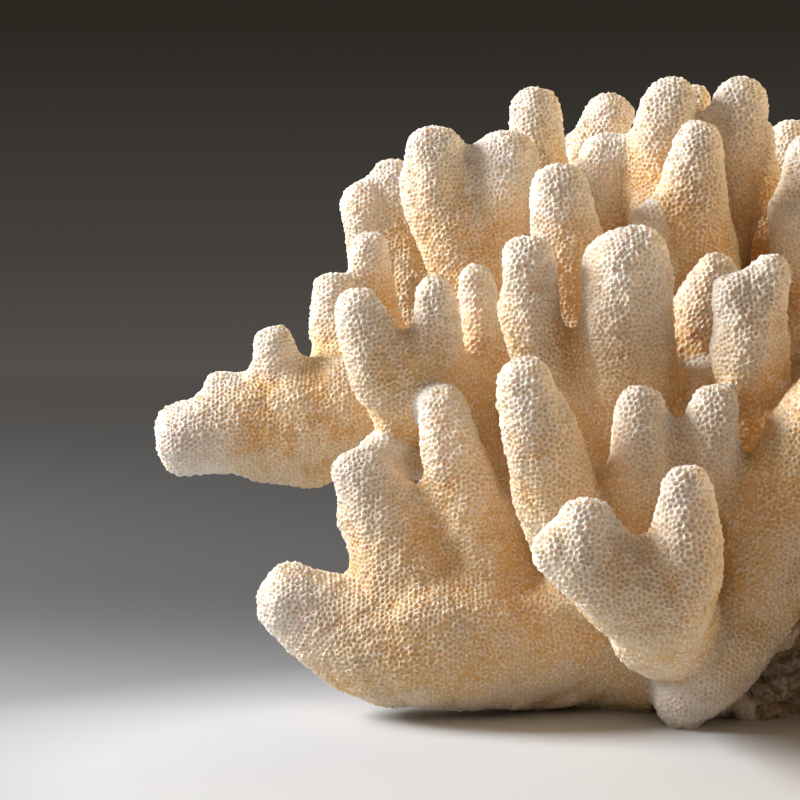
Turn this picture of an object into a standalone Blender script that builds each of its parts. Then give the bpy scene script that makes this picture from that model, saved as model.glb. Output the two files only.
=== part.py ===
# Cats paw coral: a dry coral skeleton, split at its main forks into named branches.
#
# Metres, +Z up, +X to the viewer's right, +Y away from the viewer. The origin is the
# centre of the flat cut under the holdfast.
#
# Each branch is a family of blunt fingers. A finger is a bevelled curve whose radius
# changes along its length, with a few low lumps on it. The fingers of one branch are
# fused, their crotches are filled to a soft web, and the result is thinned to facets.
# The branches start at the surface of the holdfast, 0.4 mm clear of it and of each other.
# The side that the viewer sees follows the photo; the right side and the back are made in
# the same manner, with branches of the same sizes.

import bmesh
import bpy
import numpy as np

MM = 0.001

# Driving dimensions, in millimetres
HOLDFAST_CENTRE = (-2.0, -4.0, 29.0)
HOLDFAST_RADII = (50.0, 50.0, 52.0)
GAP = 0.4
SKIN = 0.35
WEB_RADIUS = 1.3
FUSE_VOXEL = 1.3
PATH_STEP = 3.0
TIP_FLATNESS = 2.5
LUMPS_PER_FINGER = 4
LUMP_SIZE = 0.62
LUMP_OFFSET = 0.52
LUMP_SEED = 41
TRIANGLE_BUDGET = 7360

# The fingers, each from its tip to its root. Each point is (x, y, z, radius) in millimetres.
# The holdfast carries short nubs between the branches, and low toes round the cut.
HOLDFAST_NUBS = (
    ((12, -60, 50, 5.6), (10, -50, 45, 8), (6, -34, 38, 11)),
    ((27, -55, 40, 5.6), (23, -46, 37, 8), (16, -30, 32, 11)),
    ((52, -22, 40, 6), (44, -18, 36, 9), (28, -10, 32, 12)),
    ((44, -26, 70, 5.6), (38, -22, 62, 8), (26, -14, 50, 11)),
    ((50, 28, 60, 5.8), (42, 24, 54, 8.5), (26, 14, 44, 12)),
    ((20, 56, 26, 6), (17, 46, 24, 9), (10, 30, 24, 12)),
    ((-24, 55, 54, 5.8), (-20, 46, 48, 8.5), (-12, 28, 40, 12)),
    ((-58, 18, 26, 6.2), (-48, 14, 26, 9), (-30, 8, 26, 12)),
    ((-49, 30, 62, 5.6), (-42, 26, 56, 8), (-26, 16, 44, 12)),
    ((37, 22, 86, 5.4), (31, 18, 76, 7.5), (18, 10, 56, 12)),
    ((-14, -42, 6, 12), (-10, -28, 14, 14), (-6, -14, 22, 16)),
    ((28, -36, 6, 11), (20, -26, 14, 14), (12, -14, 22, 16)),
    ((44, 4, 6, 11), (32, 2, 14, 14), (18, 0, 22, 16)),
    ((18, 38, 6, 12), (12, 28, 14, 14), (6, 14, 22, 16)),
    ((-36, 26, 6, 11), (-26, 18, 14, 14), (-14, 10, 22, 16)),
    ((-42, -10, 6, 11), (-32, -8, 14, 14), (-16, -4, 22, 16)),
)

# The main branches
BRANCHES = {
    "low_left_branch": (
        ((-111, -46, 24, 8.3), (-104, -46, 20, 10.5), (-93, -47, 16, 13.3), (-80, -48, 17, 15),
         (-62, -42, 17, 16.5), (-44, -37, 17, 17), (-29, -41, 13, 15)),
        ((-97, -42, 51, 6.5), (-94, -42, 45, 8.5), (-90, -43, 35, 9.7), (-85, -46, 21, 12.5)),
        ((-93, -34, 54, 5.3), (-92, -36, 46, 7), (-90, -38, 36, 8.5)),
        ((-98, -40, 42, 4.2), (-94, -42, 39, 7)),
        ((-80, -45, 66, 5.2), (-78, -45, 58, 6.7), (-75, -44, 47, 8.3), (-71, -43, 36, 10),
         (-65, -42, 20, 13)),
    ),
    "left_arm": (
        ((-136.8, -8, 56, 8.8), (-126, -6, 58, 11), (-112, -4, 58, 14), (-98, -2, 61, 14.5),
         (-76, 0, 58, 14.5), (-46, 3, 44, 17)),
        ((-129, -5, 66, 5.5), (-122, -5, 62, 8)),
        ((-118, -5, 77, 4.8), (-117, -5, 70, 6), (-112, -5, 62, 9)),
        ((-105, 5, 89, 4.8), (-104, 5, 80, 6), (-100, 3, 67, 9)),
        ((-96, 11, 99, 4.5), (-96, 11, 89, 5.7), (-93, 8, 74, 8.5), (-86, 4, 62, 11)),
        ((-116, 14, 66, 6), (-108, 8, 61, 9)),
    ),
    "front_left_paw": (
        ((-98, -36, 86.5, 5.2), (-95.5, -36, 79.5, 6.8), (-89, -33, 70, 9.4), (-78, -24, 62, 10.5),
         (-50, -8, 44, 12)),
        ((-81.5, -36, 90, 4.5), (-81.2, -36, 83, 5.3), (-80, -34, 74, 6.8), (-74, -26, 63, 9)),
        ((-72.5, -24, 92.5, 4.2), (-71, -24, 85, 4.9), (-69, -22, 75, 6), (-66, -18, 62, 8.5)),
    ),
    "centre_club": (
        ((-41.2, -50, 95, 9.2), (-41, -49, 86, 10), (-40, -45, 75, 10.3), (-36, -34, 58, 12),
         (-28, -20, 40, 13)),
        ((-45.5, -50, 97.5, 5), (-45, -50, 92, 6.5)),
        ((-38.5, -51, 99.5, 5.8), (-39, -50, 92, 7.8)),
        ((-61.8, -48, 97, 6), (-61.6, -48, 91, 6.3), (-61, -47, 85, 6.4), (-59.2, -45, 77.5, 6.5),
         (-54, -39, 67, 8.5), (-40, -24, 48, 12)),
    ),
    "front_branch": (
        ((-34, -96, 55, 5.3), (-34, -96, 46, 6.8), (-35, -94, 37, 8.3), (-38, -89, 31, 9.5),
         (-34, -66, 24, 12), (-28, -36, 22, 14)),
        ((-53, -95, 48, 5.8), (-52, -94, 42, 8), (-47, -92, 37, 9.5), (-40, -87, 32, 10.5)),
        ((-57, -94, 43, 6), (-50, -93, 38, 8)),
        ((-64, -76, 74, 5.4), (-62, -76, 67, 7.2), (-59, -73, 58, 8.3), (-55, -67, 47, 9.5),
         (-46, -54, 33, 11), (-32, -34, 24, 12)),
        ((-40, -70, 68, 5.1), (-40, -70, 60, 6.5), (-37, -66, 49, 8.3), (-31, -56, 38, 10.5),
         (-24, -34, 28, 12)),
        ((-25, -70, 68, 5.5), (-27, -70, 60, 7), (-30, -66, 49, 8.5)),
    ),
    "front_right_finger": (
        ((8, -71, 84, 7.3), (5, -71, 77, 9.3), (-1, -70, 67, 10.2), (-7, -69, 56, 10.4),
         (-11, -66, 43, 10.6), (-14, -60, 30, 10.5), (-12, -42, 22, 12)),
        ((-29, -57, 6, 6.5), (-25, -58, 11, 8), (-17, -60, 24, 10)),
        ((17, -66, 70, 6), (9, -66, 60, 7.6), (-2, -66, 49, 9)),
    ),
    "right_centre_paw": (
        ((-19, -60, 90, 5.8), (-17, -60, 83, 8), (-16, -57, 73, 7.8), (-14, -46, 60, 8.5),
         (-12, -28, 44, 10)),
        ((-13, -60, 95, 4.6), (-15, -60, 88, 6)),
        ((-20, -32, 94, 5), (-23, -32, 87, 6.6), (-23, -30, 76, 8), (-18, -22, 60, 10)),
        ((-22, -35, 71, 7), (-19, -44, 66, 8.5), (-15, -53, 66, 7.5)),
    ),
    "heart_plate": (
        ((-81, 5, 121, 7.3), (-80, 5, 112, 8.8), (-75, 4, 99, 8.8), (-67, 2, 84, 9), (-48, 0, 60, 11)),
        ((-64, 5, 119, 7.8), (-65, 5, 109, 8.8), (-70, 4, 96, 8.8)),
        ((-73, 6, 112, 7.5), (-72, 4, 100, 8.5)),
        ((-69, 14, 120, 5), (-70, 11, 110, 6.5), (-70, 6, 98, 8)),
    ),
    "back_left_paw": (
        ((-98, 45, 109, 6.3), (-95, 45, 99, 7.6), (-88, 42, 81, 9), (-70, 30, 60, 11.5),
         (-40, 14, 44, 13)),
        ((-91, 47, 115, 6), (-89, 46, 103, 7.6), (-86, 42, 86, 9)),
        ((-78, 60, 96, 6.5), (-79, 56, 86, 8), (-80, 46, 74, 9)),
    ),
    "top_left_paw": (
        ((-56, 25, 132, 6.2), (-56, 25, 123, 6.8), (-54, 24, 110, 7.8), (-48, 18, 90, 9.5),
         (-34, 8, 66, 11)),
        ((-53, -18, 112, 6.9), (-52, -18, 105, 7.8), (-49, -15, 95, 8.8), (-42, -6, 80, 10.5)),
        ((-41, 7, 120, 6.2), (-42, 8, 111, 6.6), (-43, 10, 98, 8), (-42, 10, 84, 10)),
    ),
    "top_paw": (
        ((-26, 3, 133, 6), (-28, 3, 125, 7.5), (-28, 2, 112, 8.5), (-24, 1, 96, 10), (-18, 0, 70, 12)),
        ((-9.8, 5, 132.4, 6.7), (-10.8, 5, 122, 7.7), (-13.5, 4, 110, 8.5), (-17, 2, 94, 10)),
        ((-22, -16, 123, 5.4), (-23, -16, 114, 7.6), (-23, -14, 103, 9.3), (-20, -9, 90, 10.5)),
        ((-32, -16, 105, 5.4), (-27, -14, 98, 7)),
    ),
    "back_upper_paw": (
        ((-35, 60, 132, 6.2), (-38, 60, 124, 6.8), (-36, 55, 110, 8.5), (-28, 43, 90, 10),
         (-12, 24, 64, 12)),
        ((-44, 62, 122, 5), (-40, 59, 114, 6.5)),
        ((-16, 40, 135, 4.8), (-17, 39, 123, 6), (-19, 38, 108, 7.5), (-22, 38, 92, 9)),
        ((-20, 66, 112, 6.5), (-23, 60, 102, 8), (-26, 48, 90, 9)),
    ),
    "top_right_paw": (
        ((5, -10, 119, 6.8), (3, -10, 107, 7.5), (3, -10, 95, 8.5), (4, -6, 80, 10), (4, -3, 62, 12)),
        ((0, -14, 106, 5.5), (2, -12, 96, 7)),
        ((-3, 23, 126, 4.9), (-3, 23, 115, 5.8), (-2, 20, 101, 7.2), (0, 10, 84, 9)),
        ((20, 0, 128, 6.5), (18, 0, 117, 7.8), (14, -1, 103, 9), (9, -2, 88, 10)),
        ((24, -20, 116, 6), (21, -18, 106, 7.5), (14, -12, 92, 9)),
    ),
    "right_front_paw": (
        ((48, -64, 94, 6.8), (47, -61, 83, 8.6), (43, -52, 69, 10), (34, -38, 54, 12),
         (20, -20, 40, 13)),
        ((66, -48, 97, 6), (63, -47, 87, 7.6), (55, -44, 74, 9)),
        ((29, -65, 90, 5.6), (31, -60, 79, 7.4), (36, -50, 67, 9)),
        ((52, -74, 76, 5.2), (49, -66, 70, 7)),
    ),
    "right_low_branch": (
        ((110, -52, 27, 8.5), (98, -51, 23, 12), (82, -49, 20, 14), (62, -42, 19, 15.5),
         (36, -28, 20, 17)),
        ((84, -56, 66, 6), (82, -55, 56, 7.6), (79, -52, 42, 9), (76, -48, 28, 12)),
        ((107, -46, 58, 5.6), (104, -46, 48, 7.2), (98, -47, 36, 9.5)),
        ((68, -84, 37, 6.6), (66, -78, 31, 8.8), (64, -64, 24, 11), (60, -46, 20, 13)),
        ((94, -75, 31, 5.6), (88, -67, 26, 8), (79, -56, 22, 10)),
    ),
    "low_front_finger": (
        ((28, -92, 36, 6.8), (26, -84, 30, 9), (22, -70, 24, 11), (12, -40, 20, 13)),
        ((38, -80, 52, 5.6), (34, -76, 42, 7.4), (27, -72, 30, 9.5)),
        ((18, -85, 59, 5.8), (18, -79, 49, 7.6), (19, -70, 37, 9.4)),
    ),
    "upper_front_paw": (
        ((21, -50, 113, 6.6), (20, -47, 102, 8), (17, -40, 88, 9.5), (12, -26, 70, 11),
         (6, -14, 50, 12)),
        ((8, -48, 104, 5.8), (9, -44, 95, 7.2), (13, -37, 84, 9)),
        ((34, -44, 107, 6), (30, -41, 97, 7.4), (22, -36, 84, 9)),
    ),
    "low_right_finger": (
        ((90, 28, 28, 8), (76, 24, 24, 10.5), (56, 17, 22, 12.5), (32, 8, 22, 14)),
        ((76, 34, 50, 6.2), (73, 30, 39, 8), (66, 23, 28, 10)),
        ((96, 14, 39, 5.4), (88, 20, 31, 7.6)),
    ),
    "right_arm": (
        ((136, 2, 64, 7.6), (126, 3, 62, 10.4), (110, 6, 58, 13), (88, 8, 53, 14.5),
         (62, 8, 47, 15.5), (34, 6, 40, 17)),
        ((130, 24, 60, 6.4), (122, 18, 59, 8.6), (108, 11, 57, 11)),
        ((103, 12, 94, 5.4), (103, 12, 83, 6.8), (101, 10, 70, 9)),
        ((124, -2, 88, 5), (122, -1, 79, 6.4), (117, 2, 68, 9)),
        ((84, 2, 84, 5.6), (85, 4, 74, 7.4), (84, 6, 62, 10)),
    ),
    "right_upper_paw": (
        ((62, 2, 120, 7), (60, 3, 109, 8.8), (54, 4, 94, 10), (42, 5, 77, 11.5), (22, 4, 54, 13)),
        ((86, 8, 112, 6), (81, 8, 102, 7.8), (70, 7, 90, 9)),
        ((56, 32, 117, 6), (55, 27, 107, 7.8), (50, 16, 92, 9.5)),
        ((42, -14, 114, 5.6), (42, -11, 104, 7.2), (42, -4, 90, 9)),
    ),
    "right_back_branch": (
        ((96, 76, 60, 7.4), (86, 70, 55, 10.4), (72, 60, 48, 12.5), (56, 46, 41, 14), (28, 24, 36, 16)),
        ((68, 66, 88, 6), (68, 64, 77, 7.6), (66, 58, 62, 10)),
        ((96, 56, 84, 5.6), (92, 56, 74, 7.2), (84, 58, 62, 9)),
        ((56, 92, 54, 6.8), (57, 84, 49, 9), (58, 68, 44, 11)),
        ((80, 42, 64, 5.8), (74, 44, 56, 8)),
        ((79, 91, 53, 5.6), (76, 83, 49, 7.8), (70, 70, 45, 10)),
    ),
    "back_right_paw": (
        ((30, 66, 124, 6.6), (28, 61, 113, 8.2), (24, 50, 96, 9.8), (18, 36, 78, 11.5),
         (10, 20, 56, 13)),
        ((14, 70, 126, 6.2), (14, 66, 114, 7.6), (17, 55, 98, 9)),
        ((40, 48, 112, 5.8), (36, 46, 102, 7.4), (28, 42, 88, 9.5)),
    ),
    "back_branch": (
        ((-4, 106, 54, 7.4), (-4, 96, 49, 10), (-3, 80, 42, 12.5), (-2, 60, 37, 14.5), (-2, 32, 34, 16)),
        ((18, 90, 80, 6), (15, 86, 70, 7.6), (8, 78, 56, 10)),
        ((-20, 86, 82, 6.2), (-17, 82, 71, 8), (-10, 74, 56, 10.5)),
        ((22, 92, 40, 6.6), (14, 86, 38, 9)),
    ),
    "back_low_left_branch": (
        ((-70, 92, 32, 7), (-64, 82, 29, 9.8), (-55, 68, 25, 12.5), (-44, 52, 24, 14),
         (-24, 28, 26, 16)),
        ((-62, 78, 66, 6), (-60, 75, 56, 7.6), (-56, 69, 40, 10)),
        ((-40, 92, 40, 6.4), (-43, 82, 34, 9)),
        ((-78, 56, 40, 6), (-70, 56, 34, 8.4), (-60, 56, 28, 11)),
    ),
}

# The common ivory, which each node's material takes in one of three close shades
IVORY = (0.80, 0.70, 0.55)


def clear_scene():
    for item in list(bpy.data.objects):
        bpy.data.objects.remove(item, do_unlink=True)
    for group in list(bpy.data.collections):
        bpy.data.collections.remove(group)


def new_collection(name):
    group = bpy.data.collections.new(name)
    bpy.context.scene.collection.children.link(group)
    return group


def smooth_path(points):
    """Runs a Catmull-Rom curve through the listed points, with its radius, every few mm."""
    listed = np.array(points, dtype=float)
    first = 2 * listed[0] - listed[1]
    last = 2 * listed[-1] - listed[-2]
    guide = np.vstack([first, listed, last])
    rows = []
    for i in range(len(listed) - 1):
        a, b, c, d = guide[i:i + 4]
        length = np.linalg.norm(c[:3] - b[:3])
        steps = max(2, int(round(length / PATH_STEP)))
        t = (np.arange(steps) / steps)[:, None]
        linear = (c - a) * t
        square = (2 * a - 5 * b + 4 * c - d) * t ** 2
        cubic = (3 * b - a - 3 * c + d) * t ** 3
        rows.append(0.5 * (2 * b + linear + square + cubic))
    rows.append(listed[-1:])
    return np.vstack(rows)


def add_round_tip(path):
    """Puts a blunt, slightly flattened cap before the first point of the path."""
    centre = path[0, :3]
    radius = path[0, 3]
    outward = centre - path[1, :3]
    outward = outward / np.linalg.norm(outward)
    share = np.array([0.97, 0.88, 0.70, 0.42])
    cap = np.empty((len(share), 4))
    cap[:, :3] = centre + outward * (share * radius)[:, None]
    cap[:, 3] = radius * (1 - share ** TIP_FLATNESS) ** (1 / TIP_FLATNESS)
    return np.vstack([cap, path])


def finger_tube(name, path):
    """Makes one finger: a bevelled curve with a radius at each point, as a closed mesh."""
    curve = bpy.data.curves.new(name, "CURVE")
    curve.dimensions = "3D"
    curve.bevel_depth = 1.0
    curve.bevel_resolution = 4
    curve.use_fill_caps = True
    spline = curve.splines.new("POLY")
    spline.points.add(len(path) - 1)
    for point, row in zip(spline.points, path):
        point.co = (row[0] * MM, row[1] * MM, row[2] * MM, 1.0)
        point.radius = row[3] * MM
    return curve_to_mesh(name, curve)


def curve_to_mesh(name, curve):
    holder = bpy.data.objects.new(name, curve)
    bpy.context.scene.collection.objects.link(holder)
    graph = bpy.context.evaluated_depsgraph_get()
    mesh = bpy.data.meshes.new_from_object(holder.evaluated_get(graph))
    bpy.data.objects.remove(holder, do_unlink=True)
    bpy.data.curves.remove(curve)
    form = bmesh.new()
    form.from_mesh(mesh)
    bmesh.ops.remove_doubles(form, verts=form.verts, dist=0.000001)
    form.to_mesh(mesh)
    form.free()
    return mesh


def lumps_for(path, chance):
    """Chooses low lumps on a finger: (centre, radius) of balls half sunk in its side."""
    balls = []
    for _ in range(LUMPS_PER_FINGER):
        along = chance.uniform(0.0, 0.6)
        row = path[int(along * (len(path) - 1))]
        way = chance.normal(size=3)
        way = way / np.linalg.norm(way)
        size = row[3] * LUMP_SIZE * chance.uniform(0.85, 1.1)
        balls.append((row[:3] + way * row[3] * LUMP_OFFSET, size))
    return balls


def add_ball(form, centre, radius):
    made = bmesh.ops.create_icosphere(form, subdivisions=2, radius=radius * MM)
    bmesh.ops.translate(form, verts=made["verts"], vec=[c * MM for c in centre])


def put_object(name, mesh, group):
    item = bpy.data.objects.new(name, mesh)
    group.objects.link(item)
    return item


def apply_modifiers(item):
    """Replaces the object's mesh by the shape that its modifiers make."""
    graph = bpy.context.evaluated_depsgraph_get()
    mesh = bpy.data.meshes.new_from_object(item.evaluated_get(graph))
    item.modifiers.clear()
    old = item.data
    item.data = mesh
    bpy.data.meshes.remove(old)


def remesh(item, voxel):
    step = item.modifiers.new("fuse", "REMESH")
    step.mode = "VOXEL"
    step.voxel_size = voxel * MM


def swell(item, distance):
    step = item.modifiers.new("swell", "DISPLACE")
    step.mid_level = 0.0
    step.strength = distance * MM


def thin_out(item, triangles):
    """Thins the mesh to about the number of triangles given."""
    form = bmesh.new()
    form.from_mesh(item.data)
    bmesh.ops.triangulate(form, faces=form.faces)
    form.to_mesh(item.data)
    form.free()
    step = item.modifiers.new("thin", "DECIMATE")
    step.ratio = min(1.0, triangles / len(item.data.polygons))
    apply_modifiers(item)


def surface_area(item):
    form = bmesh.new()
    form.from_mesh(item.data)
    area = sum(face.calc_area() for face in form.faces)
    form.free()
    return area


def fuse_and_web(item):
    """Fuses the tubes and lumps, fills the crotches to a soft web and smooths the skin."""
    remesh(item, FUSE_VOXEL)
    swell(item, WEB_RADIUS)
    remesh(item, FUSE_VOXEL)
    swell(item, SKIN - WEB_RADIUS)
    remesh(item, FUSE_VOXEL)
    step = item.modifiers.new("smooth", "SMOOTH")
    step.factor = 0.5
    step.iterations = 4
    apply_modifiers(item)


def cut_with(item, cutter):
    step = item.modifiers.new("cut", "BOOLEAN")
    step.operation = "DIFFERENCE"
    step.solver = "EXACT"
    step.object = cutter
    apply_modifiers(item)


def cut_flat(item):
    """Cuts the coral off flat at the height of the table and closes the cut."""
    form = bmesh.new()
    form.from_mesh(item.data)
    if min(v.co.z for v in form.verts) < 0.0:
        geometry = form.verts[:] + form.edges[:] + form.faces[:]
        cut = bmesh.ops.bisect_plane(
            form, geom=geometry, dist=0.000001, plane_co=(0, 0, 0), plane_no=(0, 0, -1), clear_outer=True)
        rim = [piece for piece in cut["geom_cut"] if isinstance(piece, bmesh.types.BMEdge)]
        bmesh.ops.triangle_fill(form, use_beauty=True, use_dissolve=False, edges=rim)
        bmesh.ops.recalc_face_normals(form, faces=form.faces)
    form.to_mesh(item.data)
    form.free()


def keep_largest_body(item):
    """Drops any crumb that a cut left beside the branch."""
    form = bmesh.new()
    form.from_mesh(item.data)
    bmesh.ops.remove_doubles(form, verts=form.verts, dist=0.000002)
    bmesh.ops.dissolve_degenerate(form, edges=form.edges, dist=0.000002)
    bmesh.ops.triangulate(form, faces=form.faces)
    unseen = set(form.verts)
    bodies = []
    while unseen:
        start = unseen.pop()
        body = {start}
        front = [start]
        while front:
            here = front.pop()
            for edge in here.link_edges:
                there = edge.other_vert(here)
                if there not in body:
                    body.add(there)
                    front.append(there)
        unseen -= body
        bodies.append(body)
    bodies.sort(key=len)
    for body in bodies[:-1]:
        bmesh.ops.delete(form, geom=list(body), context="VERTS")
    form.to_mesh(item.data)
    form.free()


def grown_copy(item, distance, group):
    """Makes a cutter: a copy of the solid, grown evenly by the distance given."""
    form = bmesh.new()
    form.from_mesh(item.data)
    form.normal_update()
    moves = [vert.normal * vert.calc_shell_factor() * distance * MM for vert in form.verts]
    for vert, move in zip(form.verts, moves):
        vert.co += move
    mesh = bpy.data.meshes.new(item.name + "_cutter")
    form.to_mesh(mesh)
    form.free()
    cutter = put_object(item.name + "_cutter", mesh, group)
    cutter.hide_render = True
    cutter.display_type = "WIRE"
    return cutter


def boxes_meet(one, other):
    a = np.array([v.co for v in one.data.vertices])
    b = np.array([v.co for v in other.data.vertices])
    return bool(np.all(a.min(axis=0) < b.max(axis=0)) and np.all(b.min(axis=0) < a.max(axis=0)))


def coral_material(name, step):
    material = bpy.data.materials.new("coral skeleton, " + name.replace("_", " "))
    material.use_nodes = True
    shader = material.node_tree.nodes["Principled BSDF"]
    tone = [channel * (1.0 - 0.04 * (step % 3)) for channel in IVORY]
    shader.inputs["Base Color"].default_value = (*tone, 1.0)
    shader.inputs["Roughness"].default_value = 0.85
    return material


def add_dome(form):
    """Adds the egg-shaped body of the holdfast."""
    made = bmesh.ops.create_icosphere(form, subdivisions=4, radius=1.0)
    for vert in made["verts"]:
        vert.co.x = (HOLDFAST_CENTRE[0] + vert.co.x * HOLDFAST_RADII[0]) * MM
        vert.co.y = (HOLDFAST_CENTRE[1] + vert.co.y * HOLDFAST_RADII[1]) * MM
        vert.co.z = (HOLDFAST_CENTRE[2] + vert.co.z * HOLDFAST_RADII[2]) * MM


def make_branch(name, fingers, chance, group):
    """Makes one main branch, or the holdfast with its nubs, before it is cut."""
    form = bmesh.new()
    if name == "holdfast":
        add_dome(form)
    for number, points in enumerate(fingers):
        path = smooth_path(points)
        tube = finger_tube(name + str(number), add_round_tip(path))
        form.from_mesh(tube)
        bpy.data.meshes.remove(tube)
        for centre, radius in lumps_for(path, chance):
            add_ball(form, centre, radius)
    mesh = bpy.data.meshes.new(name)
    form.to_mesh(mesh)
    form.free()
    item = put_object(name, mesh, group)
    fuse_and_web(item)
    return item


def main():
    clear_scene()
    coral = new_collection("cats paw coral")
    cutters = new_collection("cutters")
    cutters.hide_render = True
    chance = np.random.RandomState(LUMP_SEED)

    pieces = [make_branch("holdfast", HOLDFAST_NUBS, chance, coral)]
    for name, fingers in BRANCHES.items():
        pieces.append(make_branch(name, fingers, chance, coral))

    areas = [surface_area(item) for item in pieces]
    for item, area in zip(pieces, areas):
        thin_out(item, TRIANGLE_BUDGET * area / sum(areas))

    done = []
    for item in pieces:
        for earlier in done:
            if boxes_meet(item, earlier):
                cut_with(item, grown_copy(earlier, GAP, cutters))
                cut_with(item, earlier)
        done.append(item)
    for item in done:
        cut_flat(item)
        keep_largest_body(item)

    for step, item in enumerate(done):
        item.data.materials.clear()
        item.data.materials.append(coral_material(item.name, step))
        item.data.name = item.name


main()
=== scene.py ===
# Cats paw coral: the visual model of a dry coral skeleton, with its honeycomb of corallites.
#
# The fingers are tubes carried along smooth paths. They are fused to one skin, the skin is
# given even triangles at the corallites' spacing, and each triangle corner then becomes a
# pit with walls round it. The skin is shared out to the same main branches as the solids.

import math

import bpy
import numpy as np
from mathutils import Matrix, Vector


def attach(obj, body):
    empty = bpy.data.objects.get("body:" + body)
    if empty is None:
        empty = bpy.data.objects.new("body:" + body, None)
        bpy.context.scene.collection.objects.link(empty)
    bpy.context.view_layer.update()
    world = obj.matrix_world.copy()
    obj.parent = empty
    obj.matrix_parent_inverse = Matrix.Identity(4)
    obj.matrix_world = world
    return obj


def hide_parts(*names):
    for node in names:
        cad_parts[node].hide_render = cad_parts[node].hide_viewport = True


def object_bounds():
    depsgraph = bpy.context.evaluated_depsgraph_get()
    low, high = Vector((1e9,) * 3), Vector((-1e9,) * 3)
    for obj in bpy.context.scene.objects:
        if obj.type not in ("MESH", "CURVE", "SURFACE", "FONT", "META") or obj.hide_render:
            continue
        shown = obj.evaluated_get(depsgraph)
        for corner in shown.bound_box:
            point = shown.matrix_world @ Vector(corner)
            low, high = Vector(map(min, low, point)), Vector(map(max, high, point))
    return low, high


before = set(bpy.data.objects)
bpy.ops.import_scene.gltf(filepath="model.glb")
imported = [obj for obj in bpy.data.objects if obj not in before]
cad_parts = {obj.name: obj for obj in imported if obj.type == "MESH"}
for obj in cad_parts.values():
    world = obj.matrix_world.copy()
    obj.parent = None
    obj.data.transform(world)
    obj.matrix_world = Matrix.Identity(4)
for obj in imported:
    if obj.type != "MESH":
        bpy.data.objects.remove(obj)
cad_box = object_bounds()

bl_info = {
    "name": "Cats Paw Coral",
    "version": (1, 0, 0),
    "blender": (4, 5, 0),
    "location": "3D View > Sidebar > Coral",
    "description": "Builds a coral skeleton with its corallites, and a stage for it",
    "category": "Add Mesh",
}

MM = 0.001

# Sizes of the holdfast and the fingers in millimetres. The lumps are shares of the radius.
HOLDFAST_CENTRE = (-2.0, -4.0, 29.0)
HOLDFAST_RADII = (50.0, 50.0, 52.0)
PATH_STEP = 3.0
TIP_FLATNESS = 2.5
LUMPS_PER_FINGER = 4
LUMP_SIZE = 0.62
LUMP_OFFSET = 0.48

# Seeds of the random draws: the lumps, the even net and the corallites
LUMP_SEED = 41
NET_SEED = 7
CORALLITE_SEED = 19

# The even net: its wanted edge as a share of the corallites' spacing, the share that deep
# crevices add to it, and its share of the spacing on the flat underside
EDGE_PER_SPACING = 0.89
CREVICE_WIDER = 0.7
UNDERSIDE_EDGE = 2.2

# Edges shorter than the first share of the wanted length are merged, and edges longer than the
# second are split. The two ends of a merged edge have at most so many neighbours in all.
SHORT_EDGE = 0.80
LONG_EDGE = 1.42
MOST_NEIGHBOURS = 14

# Edges are turned where their two facing slopes add up to less than this, and a round of
# turning or merging that would change so few edges is the last one
LEAST_SLOPE = -0.02
FEW_TURNS = 20
FEW_MERGES = 60

# Cells in which closed-in places are found, in millimetres: their size, the low corner of the
# block, its cells along each axis, and how far out from the skin the block is read
CELL = 2.5
BLOCK_LOW = (-200.0, -135.0, -15.0)
BLOCK_CELLS = (122, 108, 72)
LOOK_OUT = 6.0

# The corallites: how far a pit strays as a share of the spacing, how far back from a tip the
# whiter colour runs in millimetres, and the share of the relief that deep crevices lose
PIT_STRAY = 0.16
TIP_REACH = 16
CREVICE_LOSS = 0.5

# How far in a piece's closing wall goes behind its open rim, in metres
CLOSING_DEPTH = 0.0018

# Brown crusts, each a middle and a radius in millimetres: one on the holdfast only, one on all
HOLDFAST_CRUST = ((4.0, -48.0, 12.0), 24.0)
SIDE_CRUST = ((3.0, -62.0, 21.0), 11.5)

# Dark specks on top of the club, the same way, and the share of points there that are dark
SPECKS = ((-42.0, -51.0, 105.0), 3.6)
SPECK_SHARE = 0.22

# Shader values of the coral, with light that seeps a little way in, and of the floor
CORAL_SURFACE = {
    "Roughness": 0.86,
    "Specular IOR Level": 0.25,
    "Subsurface Weight": 0.35,
    "Subsurface Radius": (1.0, 0.62, 0.30),
    "Subsurface Scale": 0.0020,
}
FLOOR_SURFACE = {"Roughness": 0.9, "Specular IOR Level": 0.2}

# Scales of the textures on the coral, in waves per metre
PATCH_SCALE = 45.0
MOTTLE_SCALE = 900.0
GRAIN_SCALE = 1200.0
BUMP_SCALE = 2600.0

# The floor: half its width in metres, where its painted pool of light ends and what is left of its
# paleness outside, and the painted falloff of light from the front (0) to the back (1)
FLOOR_HALF = 2.5
POOL_RIM = (0.09, 0.125)
POOL_OUTSIDE = 0.6
FLOOR_LIGHT_FALL = (
    (0.0, 0.90), (0.12, 0.97), (0.18, 0.76), (0.29, 0.47), (0.42, 0.29), (0.55, 0.235), (1.0, 0.20))

# The lights: name, place, the point each is turned to, width in metres and colour
LIGHTS = (
    ("key_light", (-0.80, 0.08, 0.46), (-0.07, 0.0, 0.06), 0.35, (1.0, 0.99, 0.985)),
    ("fill_light", (0.78, -0.02, 0.32), (-0.05, 0.0, 0.06), 0.7, (1.0, 0.72, 0.42)),
    ("front_light", (-0.45, -0.80, 0.60), (-0.05, 0.0, 0.05), 0.8, (1.0, 0.74, 0.52)),
)

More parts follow.
